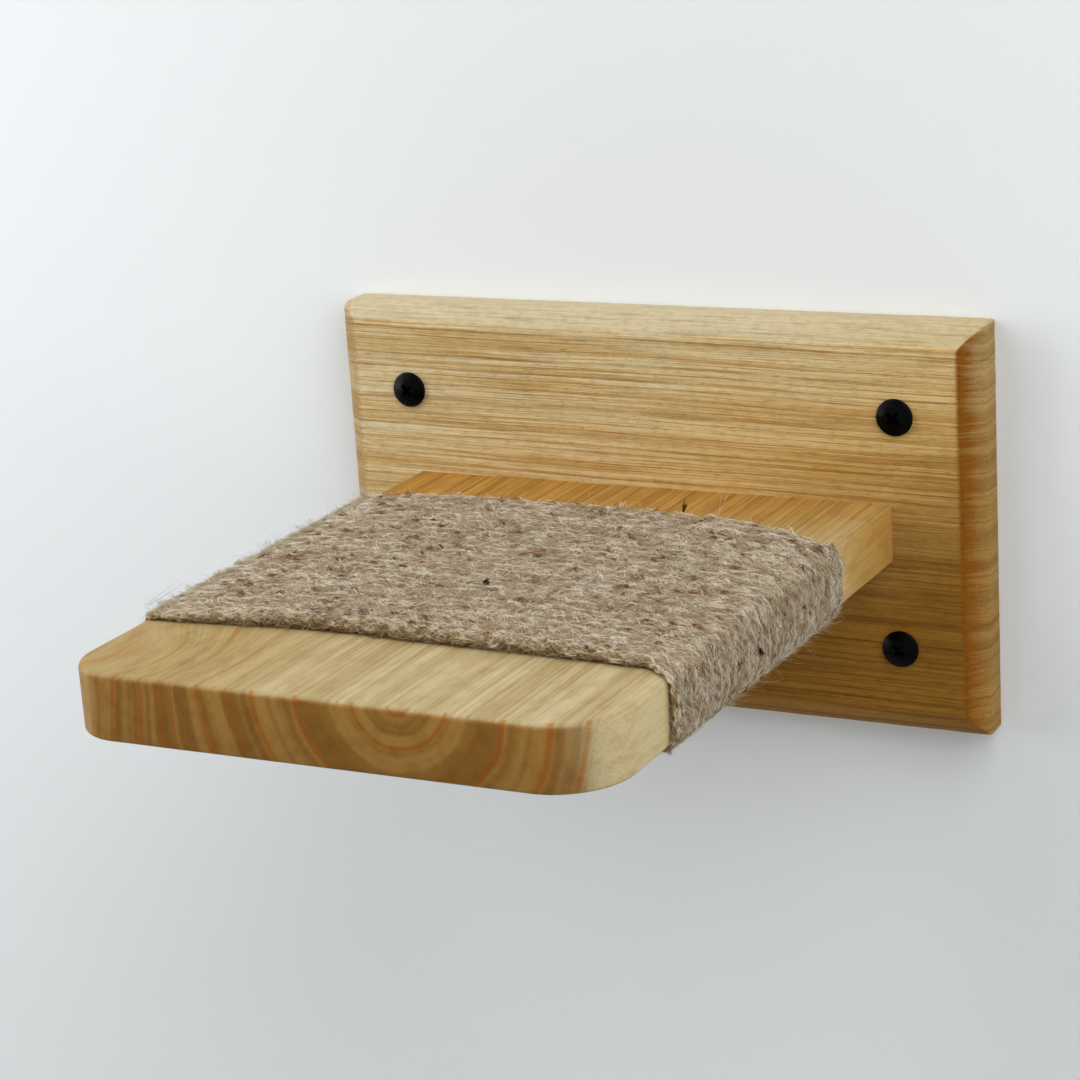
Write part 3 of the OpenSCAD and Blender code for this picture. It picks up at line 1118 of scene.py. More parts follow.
@dataclass
class RopeWinding:
    """One jute rope wound side by side round the board, pressed thin at the edges and full between them."""

    width: float = 4.9 * MM
    thick: float = 3.5 * MM
    pitch: float = 5.1 * MM
    turns: int = 26
    setback: float = 45.0 * MM
    lean: float = 1.5 * MM
    tail: float = 116.0 * MM
    tail_swing: float = 1.84 * MM
    gap: float = 0.2 * MM
    board_edge: float = 2.4 * MM
    press: float = 1.6 * MM
    fall: float = 4.0
    crown: float = 2.0 * MM
    side_crown: float = -0.4 * MM
    rear_pull: float = 8.0 * MM
    rear_turns: float = 10.0
    pull_from: float = 50.0 * MM
    front_push: float = 5.0 * MM
    front_drop: float = 2.6 * MM
    front_turns: float = 6.0
    push_rise: float = 8.0 * MM
    push_fade: float = 62.0 * MM
    wobble: float = 0.4 * MM
    wobble_wave: float = 38.0 * MM
    spread: float = 0.5 * MM
    plies: int = 3
    lay: float = 15.0 * MM
    loose_lay: float = 5.0
    loose_wave: float = 45.0 * MM
    lump_shares: Range = (0.14, 0.16)
    lump_waves: Range = (8.0 * MM, 31.0 * MM)
    groove_share: float = 0.12
    side_groove: float = 0.2
    groove_fall: float = 1.3
    groove_shade: float = 0.15
    tight_shade: float = 0.45
    outer_tight: float = 0.3
    rough: float = 0.25 * MM
    rough_waves: Range = (0.9 * MM, 2.3 * MM)
    sides: int = 14
    step: float = 1.75 * MM
    bend_steps: int = 4
    bake_margin: float = 0.08

    def build(self) -> Mesh:
        """Sweeps the twisted rope along its winding.

        Returns:
            The rope's mesh, with the lay of its plies and the painted shade in the grooves between them as
            attributes.
        """
        self._follow()
        count = len(self.travel)
        self.twist = 2 * math.pi * self.travel / self.lay + self.loose_lay * self._along(self.loose_wave, 6.0)
        lumps = zip(self.lump_shares, self.lump_waves, (1.0, 2.0))
        self.lump = sum((share * self._along(wave, seed) for share, wave, seed in lumps), 1.0)
        around = 2 * math.pi * np.arange(self.sides) / self.sides
        angle = around - self.twist[:, None]
        groove = (1 - np.abs(np.cos(self.plies * around / 2))) ** self.groove_fall
        tight = self.tight[:, None]
        depth = self.groove_share + (self.side_groove - self.groove_share) * tight
        reach = (1 - depth * groove) * self.lump[:, None]
        out, side = [
            (share[..., None] * way) for share, way in (
                (np.cos(angle), self.out[:, None, :]), (np.sin(angle), self.side),
            )
        ]
        out_r, side_r = self.deep[:, None] / 2 * reach, (self.width + self.spread) / 2 * reach
        points = self.centre[:, None, :] + out_r[..., None] * out + side_r[..., None] * side
        rough = [sum(ripple(p, wave, 0.0) for wave in self.rough_waves) for p in points.reshape(-1, 3)]
        points = points + self.rough * np.reshape(rough, (count, self.sides, 1)) * (out + side)
        mesh = make_mesh("rope_wrap_yarn", *loft(list(points)))
        half = (self.width + self.thick) / 4
        parts = (half * np.cos(around), half * np.sin(around), self.travel[:, None])
        lay = np.stack([np.broadcast_to(part, (count, self.sides)) for part in parts], axis=-1)
        mesh.attributes.new("ply_lay", "FLOAT_VECTOR", "POINT").data.foreach_set("vector", lay.ravel())
        # Painted shade in the ply grooves, deeper on the rope's sides and its outermost turns
        shade = groove * (self.groove_shade + self.tight_shade * tight)
        mesh.attributes.new("ply_groove", "FLOAT", "POINT").data.foreach_set("value", shade.ravel())
        self._unroll(mesh)
        return mesh

    def _along(self, size: float, seed: float) -> np.ndarray:
        """Gives smooth noise along the rope, with waves of a size in metres and a seed."""
        return np.array([ripple((t, 0.0, 0.0), size, seed) for t in self.travel])

    def _unroll(self, mesh: Mesh) -> None:
        """Lays the rope's skin out flat, one row for each turn.

        Args:
            mesh: The rope's mesh.
        """
        rows, margin = self.turns + 2, self.bake_margin
        row = (np.clip(np.floor(self.travel / self.turn_length), -1, self.turns) + 1)[:-1]
        low, high = [
            (travel - (row - 1) * self.turn_length) / self.turn_length
            for travel in (self.travel[:-1], self.travel[1:])
        ]
        across = np.stack([low, low, high, high], axis=-1)[:, None, :] * np.ones((1, self.sides, 1))
        across = margin / rows + (1 - 2 * margin / rows) * np.clip(across, 0, 1)
        edge = np.arange(self.sides) / self.sides
        far = edge + 1 / self.sides
        up = np.stack([edge, far, far, edge], axis=-1)[None, :, :] * np.ones((len(row), 1, 1))
        up = (row[:, None, None] + margin + (1 - 2 * margin) * up) / rows
        quads = np.stack([across, up], axis=-1).reshape(-1, 2)
        cap = np.full((self.sides, 2), 0.5 * margin / rows)
        layer = mesh.uv_layers.new(name="OFBake")
        layer.data.foreach_set("uv", np.concatenate([cap, quads, cap]).ravel())

    def _fullness(self, share: float, full: float) -> float:
        """Gives how much thicker the rope is at a share of the way between two edges, and full half way."""
        return -self.press + (full + self.press) * (1 - abs(2 * share - 1) ** self.fall)

    def _push(self, x: np.ndarray, half_w: float) -> np.ndarray:
        """Gives how far the first turns lie back on top of the board.

        Args:
            x: Places across the board.
            half_w: Half the board's width.

        Returns:
            The distances towards the rear.
        """
        shares = [np.clip(v, 0, 1) for v in ((half_w - x) / self.push_rise, (half_w + x) / self.push_fade)]
        rise, left = [share * share * (3 - 2 * share) for share in shares]
        return rise * (self.front_push * left - self.front_drop * (1 - left))

    def _follow(self) -> None:
        """Works out the rope's middle line, turn by turn, with its outward side and its depth."""
        low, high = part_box("shelf_board")
        bend_x, bend_z = high.x - self.board_edge, high.z - self.board_edge
        offset = self.gap + self.thick / 2
        bend_r = self.board_edge + offset
        arc = math.pi * bend_r / 2
        self.turn_length = 4 * arc + 4 * bend_x + 4 * bend_z
        self.side_run = 2 * arc + 2 * bend_z
        self.left_from = self.side_run + 2 * bend_x
        self.left_to = self.left_from + arc
        rows: list[tuple[float, ...]] = []
        tail_steps = round(self.tail / self.step)
        for share in (1 - i / tail_steps for i in range(tail_steps)):
            extra = self._fullness(min(1.0, 0.5 + 0.5 * (1 - share) ** 2), 0.0)
            back = self.tail * share
            rows.append((
                bend_x - back, -high.z - offset, -math.pi / 2, -back, extra, -self.tail_swing * share,
            ))
        travel = 0.0
        for turn in range(self.turns):
            for bend, (sx, sz) in enumerate(((1, -1), (1, 1), (-1, 1), (-1, -1))):
                upright = bend % 2 == 0
                last = turn == self.turns - 1 and bend == 3
                for i in range(self.bend_steps + 1):
                    a = math.pi / 2 * (bend - 1) + math.pi / 2 * i / self.bend_steps
                    x, z = sx * bend_x + bend_r * math.cos(a), sz * bend_z + bend_r * math.sin(a)
                    if i < self.bend_steps:
                        rows.append((x, z, a, travel + arc * i / self.bend_steps, -self.press, 0.0))
                travel += arc
                run = self.tail if last else (2 * bend_z if upright else 2 * bend_x)
                full = self.side_crown if upright else self.crown
                steps = max(3, round(run / self.step))
                for share in (i / steps for i in range(steps + last)):
                    extra = self._fullness(share / 2, 0.0) if last else self._fullness(share, full)
                    on = run * share
                    swing = self.tail_swing * share if last else 0.0
                    rows.append((x - math.sin(a) * on, z + math.cos(a) * on, a, travel + on, extra, swing))
                travel += run
        x, z, angle, self.travel, extra, swing = np.array(rows).T
        turn = self.travel / self.turn_length
        late = np.clip((turn - self.turns + self.rear_turns) / self.rear_turns, 0, 1)
        right = np.clip((x - self.pull_from) / (high.x - self.pull_from), 0, 1)
        pull = self.rear_pull * late ** 2 * right ** 2 * (3 - 2 * right)
        on_top = (angle > math.pi / 4) & (angle < math.pi * 3 / 4)
        pull -= on_top * self._push(x, high.x) * np.maximum(0, 1 - turn / self.front_turns) ** 1.5
        y = low.y + self.setback + self.width / 2 + self.pitch * turn - self.lean * x / high.x
        y = y + swing - pull + self.wobble * self._along(self.wobble_wave, 4.0)
        self.out = np.stack([np.cos(angle), np.zeros(len(angle)), np.sin(angle)], axis=-1)
        self.side = np.array([0.0, 1.0, 0.0])
        self.centre = draw_in(np.stack([x, y, z], axis=-1) + (extra / 2)[:, None] * self.out)
        self.deep = self.thick + extra
        outermost = np.abs(turn - self.turns / 2) > self.turns / 2 - 1
        self.tight = np.maximum(np.abs(self.out[:, 0]), self.outer_tight * outermost)

    def skin(self, travel: np.ndarray, angle: np.ndarray, lift: np.ndarray) -> np.ndarray:
        """Gives points on the rope's skin, or a little above it.

        Args:
            travel: Distance along the rope.
            angle: Angle round the rope from its outward side, towards the rear.
            lift: Height above the skin.

        Returns:
            The points, with one more axis than the three arrays.
        """
        centre, out = [
            np.stack([np.interp(travel, self.travel, line[:, k]) for k in range(3)], axis=-1)
            for line in (self.centre, self.out)
        ]
        deep, lump = [np.interp(travel, self.travel, line) for line in (self.deep, self.lump)]
        outward = ((deep * lump / 2 + lift) * np.cos(angle))[..., None] * out
        return centre + outward + ((self.width * lump / 2 + lift) * np.sin(angle))[..., None] * self.side

    def dress(self, mesh: Mesh) -> None:
        """Finishes the rope's mesh in twisted jute."""
        place_piece(mesh, TwistedJute().material(), "jute", "rope_wrap")


def tubes(lines: np.ndarray, radius: np.ndarray) -> Skin:
    """Makes thin three-sided closed tubes along many lines at once.

    Args:
        lines: Points of every line, as lines by points by three.
        radius: Radius of every line at its root; it thins towards the tip.

    Returns:
        The points and the faces.
    """
    count, length, _ = lines.shape
    run = np.gradient(lines, axis=1)
    run /= np.linalg.norm(run, axis=2, keepdims=True) + 1e-12
    helper = np.where(np.abs(run[..., 2:3]) > 0.8, np.array([1.0, 0.0, 0.0]), np.array([0.0, 0.0, 1.0]))
    one = np.cross(run, helper)
    one /= np.linalg.norm(one, axis=2, keepdims=True) + 1e-12
    two = np.cross(run, one)
    thin = np.linspace(1.0, 0.45, length)[None, :, None] * radius[:, None, None]
    turns = [2 * math.pi * k / 3 for k in range(3)]
    rings = [lines + thin * (math.cos(a) * one + math.sin(a) * two) for a in turns]
    points = np.stack(rings, axis=2).reshape(-1, 3)
    base = 3 * length * np.arange(count)[:, None]
    tip = 3 * (length - 1)
    walls = [
        [3 * i + k, 3 * i + 3 + k, 3 * i + 3 + (k + 1) % 3, 3 * i + (k + 1) % 3]
        for i in range(length - 1) for k in range(3)
    ]
    quads = (base[:, :, None] + np.array(walls)[None, :, :]).reshape(-1, 4)
    caps = np.concatenate([base + np.array([0, 1, 2]), base + np.array([tip, tip + 2, tip + 1])])
    return points, quads.tolist() + caps.tolist()


class Zone(Enum):
    """Where a coat of fibres grows: all over, at the winding's two edges, or on one side of it."""

    NAP = "nap"
    EDGES = "edges"
    TUFTS = "tufts"
    HAIRS = "hairs"
    SIDE_HAIRS = "side hairs"
    LEFT_HAIRS = "left hairs"
    LEFT_NAP = "left nap"


@dataclass(frozen=True)
class FibreCoat:
    """One coat of loose fibres: its colour, and how many, how long, how thick and how raised they are."""

    name: str
    colour: str
    count: int
    length_mm: float
    radius_mm: float
    lift_mm: float
    bunch: int = 1
    gather_mm: float = 0.0
    patch: float = 0.0
    points: int = 3
    zone: Zone = Zone.NAP


COATS = (
    FibreCoat("rope_nap_pale", "#F6EFE0", 13600, 2.7, 0.06, 0.5, bunch=5, gather_mm=1.0, patch=0.22),
    FibreCoat("rope_nap_cream", "#EBE2CD", 13600, 2.9, 0.068, 0.5, bunch=5, gather_mm=1.0, patch=0.12),
    FibreCoat("rope_nap_straw", "#E0D5BD", 13600, 3.1, 0.07, 0.5, bunch=5, gather_mm=1.0, patch=-0.05),
    FibreCoat("rope_nap_tan", "#B09B78", 13600, 3.0, 0.07, 0.45, bunch=5, gather_mm=1.0, patch=-0.25),
    FibreCoat("rope_nap_rust", "#8C5C2E", 6000, 2.0, 0.085, 0.6, bunch=8, gather_mm=0.5, patch=-0.5),
    FibreCoat("rope_nap_dark", "#56361A", 3200, 2.0, 0.085, 0.6, bunch=8, gather_mm=0.5, patch=-0.5),
    FibreCoat("rope_hair_pale", "#E6DDC9", 7600, 4.2, 0.028, 1.4, points=5, zone=Zone.HAIRS),
    FibreCoat("rope_hair_side", "#DDD0B4", 2200, 4.6, 0.03, 1.7, points=5, zone=Zone.SIDE_HAIRS),
    FibreCoat("rope_hair_left", "#8C7C66", 2000, 4.0, 0.03, 1.2, points=5, zone=Zone.LEFT_HAIRS),
    FibreCoat("rope_nap_left", "#CDBFA2", 4800, 3.2, 0.055, 0.8, bunch=8, gather_mm=0.5, zone=Zone.LEFT_NAP),
    FibreCoat("rope_edge_pale", "#E8DABD", 3600, 2.6, 0.07, 0.8, bunch=10, gather_mm=0.45, zone=Zone.TUFTS),
    FibreCoat("rope_edge_straw", "#CFBD98", 7000, 3.0, 0.07, 0.6, zone=Zone.EDGES),
    FibreCoat("rope_edge_rust", "#946438", 4000, 2.6, 0.08, 0.6, zone=Zone.EDGES),
)


@dataclass(frozen=True)
class StrayBit:
    """A few fibres that stand out of the nap at one place: a tuft, a straw, a knot or long hairs."""

    name: str
    colour: str
    root_mm: Point
    reach_mm: Point
    spread_mm: float
    count: int
    radius_mm: float


BITS = (
    StrayBit("rope_tuft_rear", "#4E3018", (31.4, -56.0, 14.6), (0.0, 0.5, 2.8), 0.95, 7, 0.32),
    StrayBit("rope_straw_top", "#8E5C34", (2.5, -117.0, 15.9), (7.0, 5.0, 0.6), 0.15, 2, 0.26),
    StrayBit("rope_knot_top", "#332312", (4.5, -145.0, 15.6), (1.6, 0.4, 0.3), 0.5, 12, 0.24),
    StrayBit("rope_knot_side", "#332312", (91.5, -138.0, 0.5), (0.5, 0.8, -2.2), 0.6, 12, 0.24),
    StrayBit("rope_strand_left", "#6E5C46", (-90.5, -187.0, 13.2), (-0.6, 22.0, 1.2), 0.7, 3, 0.05),
    StrayBit("rope_hairs_rear", "#E6DCC8", (44.0, -58.0, 14.2), (-1.0, 8.0, 4.5), 1.2, 2, 0.035),
)


@dataclass
class RopeFuzz:
    """Loose fibres on the rope: a low nap that lies along the twist, and stray hairs that stand off it."""

    rope: RopeWinding
    bit_points: int = 4
    widest: float = 1.25
    slant: float = 0.15
    slant_sway: float = 0.55
    slant_spread: float = 0.55
    edge_spread: float = 0.9
    drift_size: float = 11.0 * MM
    drift_r: float = 4.0 * MM
    cling: float = 0.22
    bow: float = 0.4
    arch: float = 3.4
    sunk: float = 0.05 * MM
    patch_size: float = 15.0 * MM
    patch_blur: float = 0.12
    length_gamma: Range = (5.0, 0.2)
    lift_gamma: Range = (1.4, 0.7)
    radius_range: Range = (0.7, 1.3)
    edge_angles: Range = (1.0, 2.9)
    tuft_angles: Range = (0.6, 1.7)
    seed: int = 20

    def build(self, coat: FibreCoat) -> Mesh:
        """Grows one coat of loose fibres.

        Args:
            coat: The coat.

        Returns:
            Its mesh.
        """
        rope = self.rope
        random = np.random.default_rng(self.seed + COATS.index(coat))
        travel, angle = self._places(random, coat)
        drift = [ripple((s, self.drift_r * a, 0.0), self.drift_size, 9.0) for s, a in zip(travel, angle)]
        slant = self.slant + self.slant_sway * np.array(drift)
        travel, angle, slant = [np.repeat(line, coat.bunch) for line in (travel, angle, slant)]
        count = len(travel)
        spread = self.edge_spread if coat.zone is Zone.EDGES else self.slant_spread
        slant = slant + random.normal(0, spread, count)
        if coat.bunch > 1:
            gather = coat.gather_mm * MM
            travel = travel + random.normal(0.0, gather, count)
            angle = angle + random.normal(0.0, gather / rope.width, count)
        tight = self.cling * np.interp(travel, rope.travel, rope.tight)
        ply = 2 * math.pi / rope.plies
        around = angle + np.interp(travel, rope.travel, rope.twist)
        angle = angle - tight * (around - ply * np.round(around / ply))
        slant = slant - tight * (slant + math.atan(math.pi * rope.width / rope.lay))
        length = coat.length_mm * MM * random.gamma(*self.length_gamma, count)
        t = np.linspace(-0.5, 0.5, coat.points)[None, :]
        along = travel[:, None] + (length * np.cos(slant))[:, None] * t
        bow = random.normal(0.0, self.bow, count)[:, None] * (t * t - 0.1)
        round_rope = angle[:, None] + (length * np.sin(slant) / rope.width * 2)[:, None] * t + bow
        raised = np.repeat(random.gamma(*self.lift_gamma, count // coat.bunch), coat.bunch)
        raised = coat.lift_mm * MM * raised * (1 - tight if coat.zone is Zone.NAP else 1.0)
        rise = (1 - self.arch * t * t) * raised[:, None] - self.sunk
        if coat.zone in (Zone.HAIRS, Zone.SIDE_HAIRS, Zone.LEFT_HAIRS):
            rise = raised[:, None] * (t + 0.5) ** 1.5
        along = np.clip(along, rope.travel[0], rope.travel[-1])
        lines = rope.skin(along, round_rope, rise)
        radius = coat.radius_mm * MM * random.uniform(*self.radius_range, count)
        return make_mesh(coat.name, *tubes(lines, radius))

    def _places(self, random: np.random.Generator, coat: FibreCoat) -> tuple[np.ndarray, np.ndarray]:
        """Picks where the bunches of a coat grow.

        Args:
            random: Source of random numbers.
            coat: The coat.

        Returns:
            Distances along the rope and angles round it.
        """
        rope, count = self.rope, coat.count // coat.bunch
        travel, angle = self._in_patches(random, count, coat.patch)
        if coat.zone is Zone.EDGES:
            travel, angle = self._at_edges(random, count, 0.5, self.edge_angles)
        elif coat.zone is Zone.TUFTS:
            travel, angle = self._at_edges(random, count, 0.0, self.tuft_angles)
        elif coat.zone is Zone.SIDE_HAIRS:
            travel = self._on_run(random, count, 0.0, rope.side_run)
        elif coat.zone in (Zone.LEFT_HAIRS, Zone.LEFT_NAP):
            travel = self._on_run(random, count, rope.left_from, rope.left_to)
        return travel, angle

    def _in_patches(
        self, random: np.random.Generator, count: int, patch: float
    ) -> tuple[np.ndarray, np.ndarray]:
        """Picks places all over the rope, with more of them in patches that span its turns.

        Args:
            random: Source of random numbers.
            count: Number of places.
            patch: Above zero for places in the pale patches, below zero for those between them.

        Returns:
            Distances along the rope and angles round it.
        """
        rope = self.rope
        travel = random.uniform(rope.travel[0], rope.travel[-1], (2, count))
        angle = random.uniform(-self.widest, self.widest, (2, count))
        spots = rope.skin(travel, angle, np.zeros((2, count))).reshape(-1, 3)
        pale = np.array([ripple(p, self.patch_size, 15.0) for p in spots]).reshape(2, count)
        first = patch * (pale[0] - pale[1]) > random.normal(0.0, self.patch_blur, count)
        return np.where(first, travel[0], travel[1]), np.where(first, angle[0], angle[1])

    def _at_edges(
        self, random: np.random.Generator, count: int, rear_share: float, angles: Range
    ) -> tuple[np.ndarray, np.ndarray]:
        """Picks places on the winding's front and rear edges, on the outer side of the outermost turns.

        Args:
            random: Source of random numbers.
            count: Number of places.
            rear_share: Share of them on the rear edge.
            angles: Angles from the rope's outward side between which they lie.

        Returns:
            Distances along the rope and angles round it.
        """
        rope = self.rope
        rear = random.random(count) < rear_share
        turn = random.random(count) * rope.turn_length
        travel = np.where(rear, (rope.turns - 1) * rope.turn_length + turn, turn)
        return travel, random.uniform(*angles, count) * np.where(rear, 1.0, -1.0)

    def _on_run(self, random: np.random.Generator, count: int, start: float, end: float) -> np.ndarray:
        """Picks a count of places along the rope, on the run of every turn from a start to an end."""
        turn = np.floor(random.random(count) * self.rope.turns)
        return turn * self.rope.turn_length + start + (end - start) * random.random(count)

    def build_bit(self, bit: StrayBit) -> Mesh:
        """Makes one bunch of fibres at its own place.

        Args:
            bit: The bunch.

        Returns:
            Its mesh.
        """
        random = np.random.default_rng(self.seed + len(COATS) + BITS.index(bit))
        spread, shape = bit.spread_mm * MM, (bit.count, 3)
        root = np.array(bit.root_mm) * MM + random.normal(0.0, spread / 3, shape)
        tip = root + np.array(bit.reach_mm) * MM + random.normal(0.0, spread, shape)
        bow = random.normal(0.0, spread / 2, shape)
        t = np.linspace(0, 1, self.bit_points)[None, :, None]
        lines = root[:, None, :] + (tip - root)[:, None, :] * t + bow[:, None, :] * (t - t * t)
        return make_mesh(bit.name, *tubes(lines, np.full(bit.count, bit.radius_mm * MM)))

    def dress(self, mesh: Mesh, colour: str) -> None:
        """Finishes a mesh of loose fibres in one colour."""
        place_piece(mesh, BastFibre(mesh.name.replace("rope", "jute_fibre"), colour).material(), "jute")


@dataclass
class DomeScrew:
    """A black wood screw with a low dome on a flange, a cross recess and a rolled thread."""

    head_r: float = 6.3 * MM
    flange_h: float = 1.15 * MM
    dome_r: float = 5.1 * MM
    dome_foot: float = 1.4 * MM
    shank_r: float = 2.5 * MM
    core_r: float = 1.75 * MM
    thread_pitch: float = 2.2 * MM
    thread_from: float = 17.3 * MM
    thread_rise: float = 1.5 * MM
    tip: float = 7.0 * MM
    recess_r: float = 2.9 * MM
    recess_w: float = 1.35 * MM
    recess_d: float = 3.0 * MM
    recess_foot: Range = (0.6, 0.75)
    recess_over: float = 0.5 * MM
    overlap: float = 0.8 * MM
    neck: float = 0.25 * MM
    tip_least: float = 0.06
    tip_curve: float = 0.8
    crest_share: float = 0.3
    head_sides: int = 48
    sides: int = 40
    steps_per_thread: int = 9

    def build(self, node: str, turn: float) -> Mesh:
        """Turns the head, rolls the thread and cuts the recess.

        Args:
            node: The CAD node that the screw stands for.
            turn: How far the recess is turned.

        Returns:
            The screw's mesh, in place.
        """
        low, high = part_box(node)
        middle = (low + high) / 2
        seat_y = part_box("back_plate")[0].y
        self.head_h = seat_y - low.y
        mesh = make_mesh(node + "_black", *lathe(self._dome(), self.head_sides))
        mesh = carve(mesh, [make_mesh("shaft", *self._shaft(high.y - seat_y))], "UNION")
        mesh = carve(mesh, [make_mesh("cross", *self._cross())], "DIFFERENCE")
        crisp(mesh, 38.0)
        stand = Matrix.Translation((middle.x, seat_y, middle.z)) @ Matrix.Rotation(math.pi / 2, 4, "X")
        mesh.transform(stand @ Matrix.Rotation(turn, 4, "Z"))
        return mesh

    def _dome(self) -> Profile:
        """Gives the head's half section, seated at height zero.

        Returns:
            Radius and height from the seat up.
        """
        rise = self.head_h - self.dome_foot
        ball = (self.dome_r ** 2 + rise ** 2) / (2 * rise)
        angles = np.linspace(1.0, 0.06, 16) * math.asin(self.dome_r / ball)
        curve = [(ball * math.sin(a), self.head_h - ball * (1 - math.cos(a))) for a in angles]
        r, h = self.head_r, self.flange_h
        edge = [
            (r - 0.35 * MM, 0.0), (r - 0.1 * MM, 0.08 * MM), (r, 0.3 * MM),
            (r, h - 0.5 * MM), (r - 0.1 * MM, h - 0.22 * MM), (r - 0.35 * MM, h),
        ]
        return [(0.0, 0.0), *edge, *curve, (0.0, self.head_h)]

    def _shaft(self, length: float) -> Skin:
        """Sweeps the shank and its thread down from the seat.

        Args:
            length: Length below the seat.

        Returns:
            The points and the faces.
        """
        steps = round(length / (self.thread_pitch / self.steps_per_thread))
        loops = []
        for i in range(steps + 1):
            down = length * i / steps - self.overlap * (i == 0)
            taper = min(1.0, max(self.tip_least, (length - down) / self.tip))
            start = min(1.0, max(0.0, (down - self.thread_from) / self.thread_rise))
            core = self.core_r if down > self.thread_from else self.core_r + self.neck
            points = []
            for k in range(self.sides):
                a = 2 * math.pi * k / self.sides
                phase = (down / self.thread_pitch - k / self.sides) % 1.0
                crest = max(0.0, 1 - abs(phase - 0.5) / self.crest_share)
                r = (core + (self.shank_r - self.core_r) * crest * start) * taper ** self.tip_curve
                points.append((r * math.cos(a), r * math.sin(a), -down))
            loops.append(np.array(points))
        return loft(loops[::-1])

    def _cross(self) -> Skin:
        """Makes the tapered cross that cuts the recess.

        Returns:
            The points and the faces.
        """
        top, bottom = self.head_h + self.recess_over, self.head_h - self.recess_d
        loops = []
        for z, share, width_share in ((bottom, *self.recess_foot), (top, 1.0, 1.0)):
            r, w = self.recess_r * share, self.recess_w / 2 * width_share
            loop = []
            for k in range(4):
                c, s = math.cos(k * math.pi / 2), math.sin(k * math.pi / 2)
                loop += [(c * x - s * y, s * x + c * y, z) for x, y in ((r, -w), (r, w), (w, w))]
            loops.append(np.array(loop))
        return loft(loops)


@dataclass
class Fixings:
    """Every screw, dowel and staple."""

    turns: tuple[float, ...] = (0.35, 0.9, 0.72, 0.85)

    def build(self) -> dict[str, Mesh]:
        """Makes the black screws, each with its recess turned its own way.

        Returns:
            Their meshes, by CAD node.
        """
        walls = sorted(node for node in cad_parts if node.startswith("wall_screw"))
        return {node: DomeScrew().build(node, turn) for node, turn in zip(walls, self.turns)}

    def dress(self, screws: dict[str, Mesh]) -> None:
        """Finishes the black screws, and the hidden fixings that stay as the frame has them.

        Args:
            screws: The black screws' meshes, by CAD node.
        """
        lacquer, zinc, beech = [finish.material() for finish in (BlackLacquer(), ZincSteel(), TurnedBeech())]
        for node, mesh in screws.items():
            place_piece(mesh, lacquer, "black_screw", node)
        for node in sorted(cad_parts):
            if node.startswith(("shelf_screw", "rope_staple", "shelf_dowel")):
                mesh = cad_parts[node].data
                mesh.materials.clear()
                mesh.materials.append(beech if node.startswith("shelf_dowel") else zinc)
                LOG.info("%s: kept from the frame", node)


@dataclass(frozen=True)
class SoftLamp:
    """A square soft lamp."""

    name: str
    place: Point
    watts: float
    size: float = 1.0


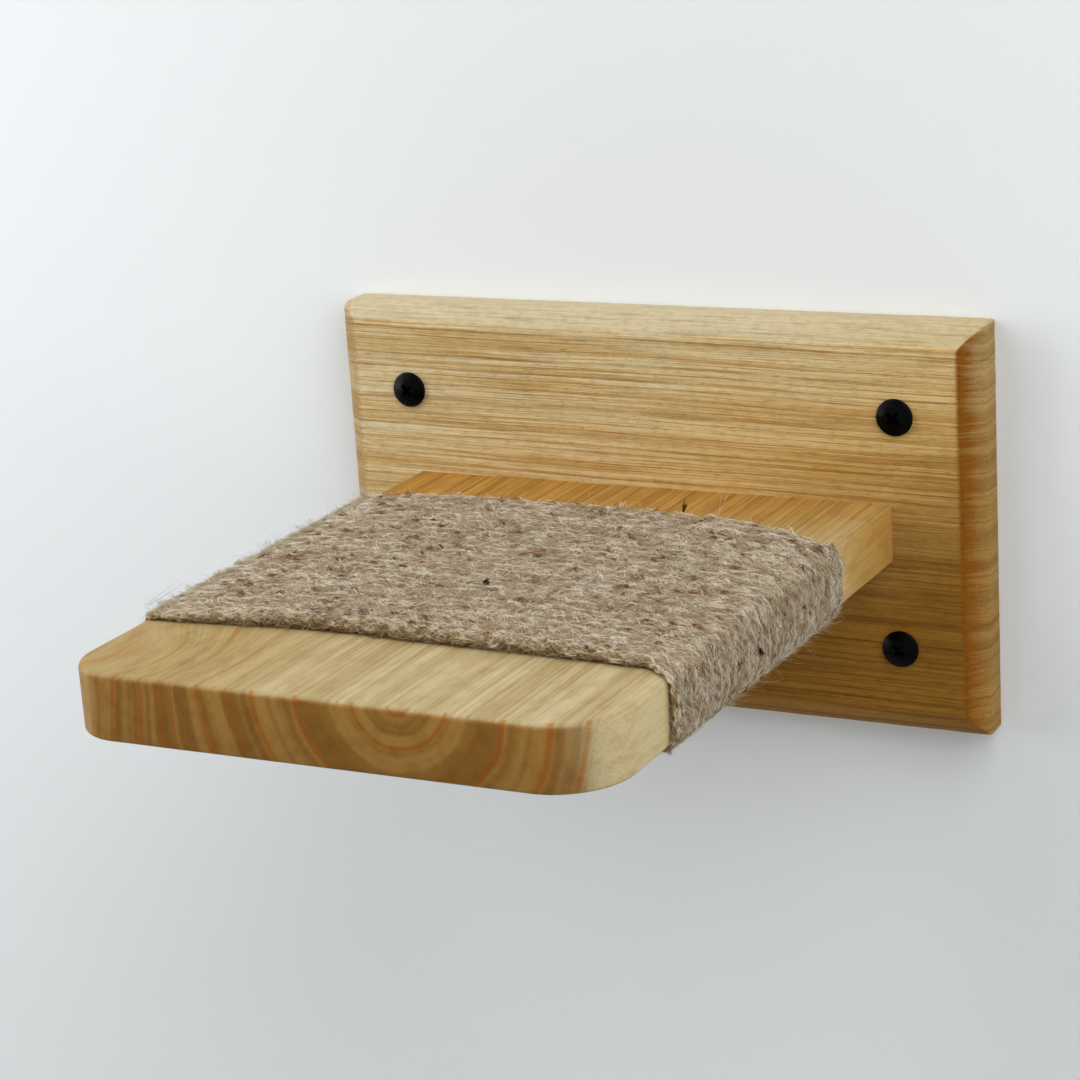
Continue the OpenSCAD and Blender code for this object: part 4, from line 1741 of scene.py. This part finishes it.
@dataclass
class Studio:
    """The pale backdrop, the soft light and the camera."""

    lens_mm: float = 92.5
    sensor_mm: float = 36.0
    camera_place: Point = (0.3958, -0.8495, 0.2676)
    azimuth: float = 27.78
    elevation: float = 16.57
    roll: float = 3.76
    wall_half: float = 1.6
    wall_gap: float = 0.2 * MM
    floor_z: float = -0.9
    opening_inset: float = 1.5 * MM
    sky_strength: float = 0.03
    lamps: tuple[SoftLamp, ...] = (
        SoftLamp("lamp_top_left", (-0.7, -0.5, 0.95), 8.5),
        SoftLamp("lamp_left", (-1.1, -0.35, 0.25), 11.0, 0.9),
        SoftLamp("lamp_top_right", (0.7, -0.6, 1.0), 11.2),
        SoftLamp("lamp_right", (1.25, -0.72, 0.35), 7.4),
        SoftLamp("lamp_back", (0.4, 1.0, 0.6), 8.0),
    )
    lamp_target: Point = (0.0, -0.1, 0.0)

    def aim_camera(self) -> None:
        """Sets the camera at the viewing angle of the photograph."""
        data = bpy.data.cameras.new("camera")
        data.lens, data.sensor_width = self.lens_mm, self.sensor_mm
        camera = put("camera", data)
        turn, tilt, lean = [
            Matrix.Rotation(math.radians(angle), 4, axis)
            for angle, axis in ((self.azimuth, "Z"), (90 - self.elevation, "X"), (-self.roll, "Z"))
        ]
        camera.matrix_world = Matrix.Translation(self.camera_place) @ turn @ tilt @ lean
        bpy.context.scene.camera = camera

    def hang_backdrop(self) -> None:
        """Puts up a pale wall, open behind the plate, and a pale floor."""
        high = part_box("back_plate")[1]
        far, y, foot = self.wall_half, high.y + self.wall_gap, self.floor_z
        w, h = high.x - self.opening_inset, high.z - self.opening_inset
        outer = [(-far, y, foot), (far, y, foot), (far, y, far), (-far, y, far)]
        inner = [(-w, y, -h), (w, y, -h), (w, y, h), (-w, y, h)]
        frame_faces = [[i, (i + 1) % 4, 4 + (i + 1) % 4, 4 + i] for i in range(4)]
        floor = [(-far, -far, foot), (far, -far, foot), (far, far, foot), (-far, far, foot)]
        for name, points, faces, paint in (
            ("wall_backdrop", outer + inner, frame_faces, PlainPaint("paint_matt_wall", "#ECF0F2")),
            ("floor", floor, [[0, 1, 2, 3]], PlainPaint("paint_matt_floor", "#E6E4E0")),
        ):
            mesh = make_mesh(name, np.array(points), faces)
            mesh.materials.append(paint.material())
            put(name, mesh)

    def light(self) -> None:
        """Lights the part with soft lamps and a faint sky."""
        scene = bpy.context.scene
        scene.view_settings.view_transform = "Standard"
        scene.world = bpy.data.worlds.new("sky")
        scene.world.use_nodes = True
        tree = scene.world.node_tree
        tree.nodes.clear()
        ray = add(tree, "LightPath", out="Is Camera Ray")
        for other in ("Is Glossy Ray", "Is Transmission Ray"):
            ray = add(tree, "Math MAXIMUM", {0: ray, 1: add(tree, "LightPath", out=other)})
        glow, seen = [
            add(tree, "Background", {"Color": colour, "Strength": strength})
            for colour, strength in (("#EEF2F6", self.sky_strength), ("#E3E7EA", 1.0))
        ]
        add(tree, "OutputWorld", {"Surface": add(tree, "MixShader", {0: ray, 1: glow, 2: seen})})
        for lamp in self.lamps:
            data = bpy.data.lights.new(lamp.name, "AREA")
            data.energy, data.size = lamp.watts, lamp.size
            aim = Vector(self.lamp_target) - Vector(lamp.place)
            turn = aim.to_track_quat("-Z", "Y").to_matrix().to_4x4()
            put(lamp.name, data).matrix_world = Matrix.Translation(lamp.place) @ turn


def main() -> None:
    """Builds the studio and every piece."""
    logging.basicConfig(level=logging.INFO, format="%(name)s: %(message)s")
    studio = Studio()
    studio.aim_camera()
    studio.hang_backdrop()
    studio.light()
    rope = RopeWinding()
    for part in (BackPlate(), ShelfBoard(), rope):
        part.dress(part.build())
    fuzz = RopeFuzz(rope)
    for coat in COATS:
        fuzz.dress(fuzz.build(coat), coat.colour)
    for bit in BITS:
        fuzz.dress(fuzz.build_bit(bit), bit.colour)
    fixings = Fixings()
    fixings.dress(fixings.build())


if __name__ == "__main__":
    main()
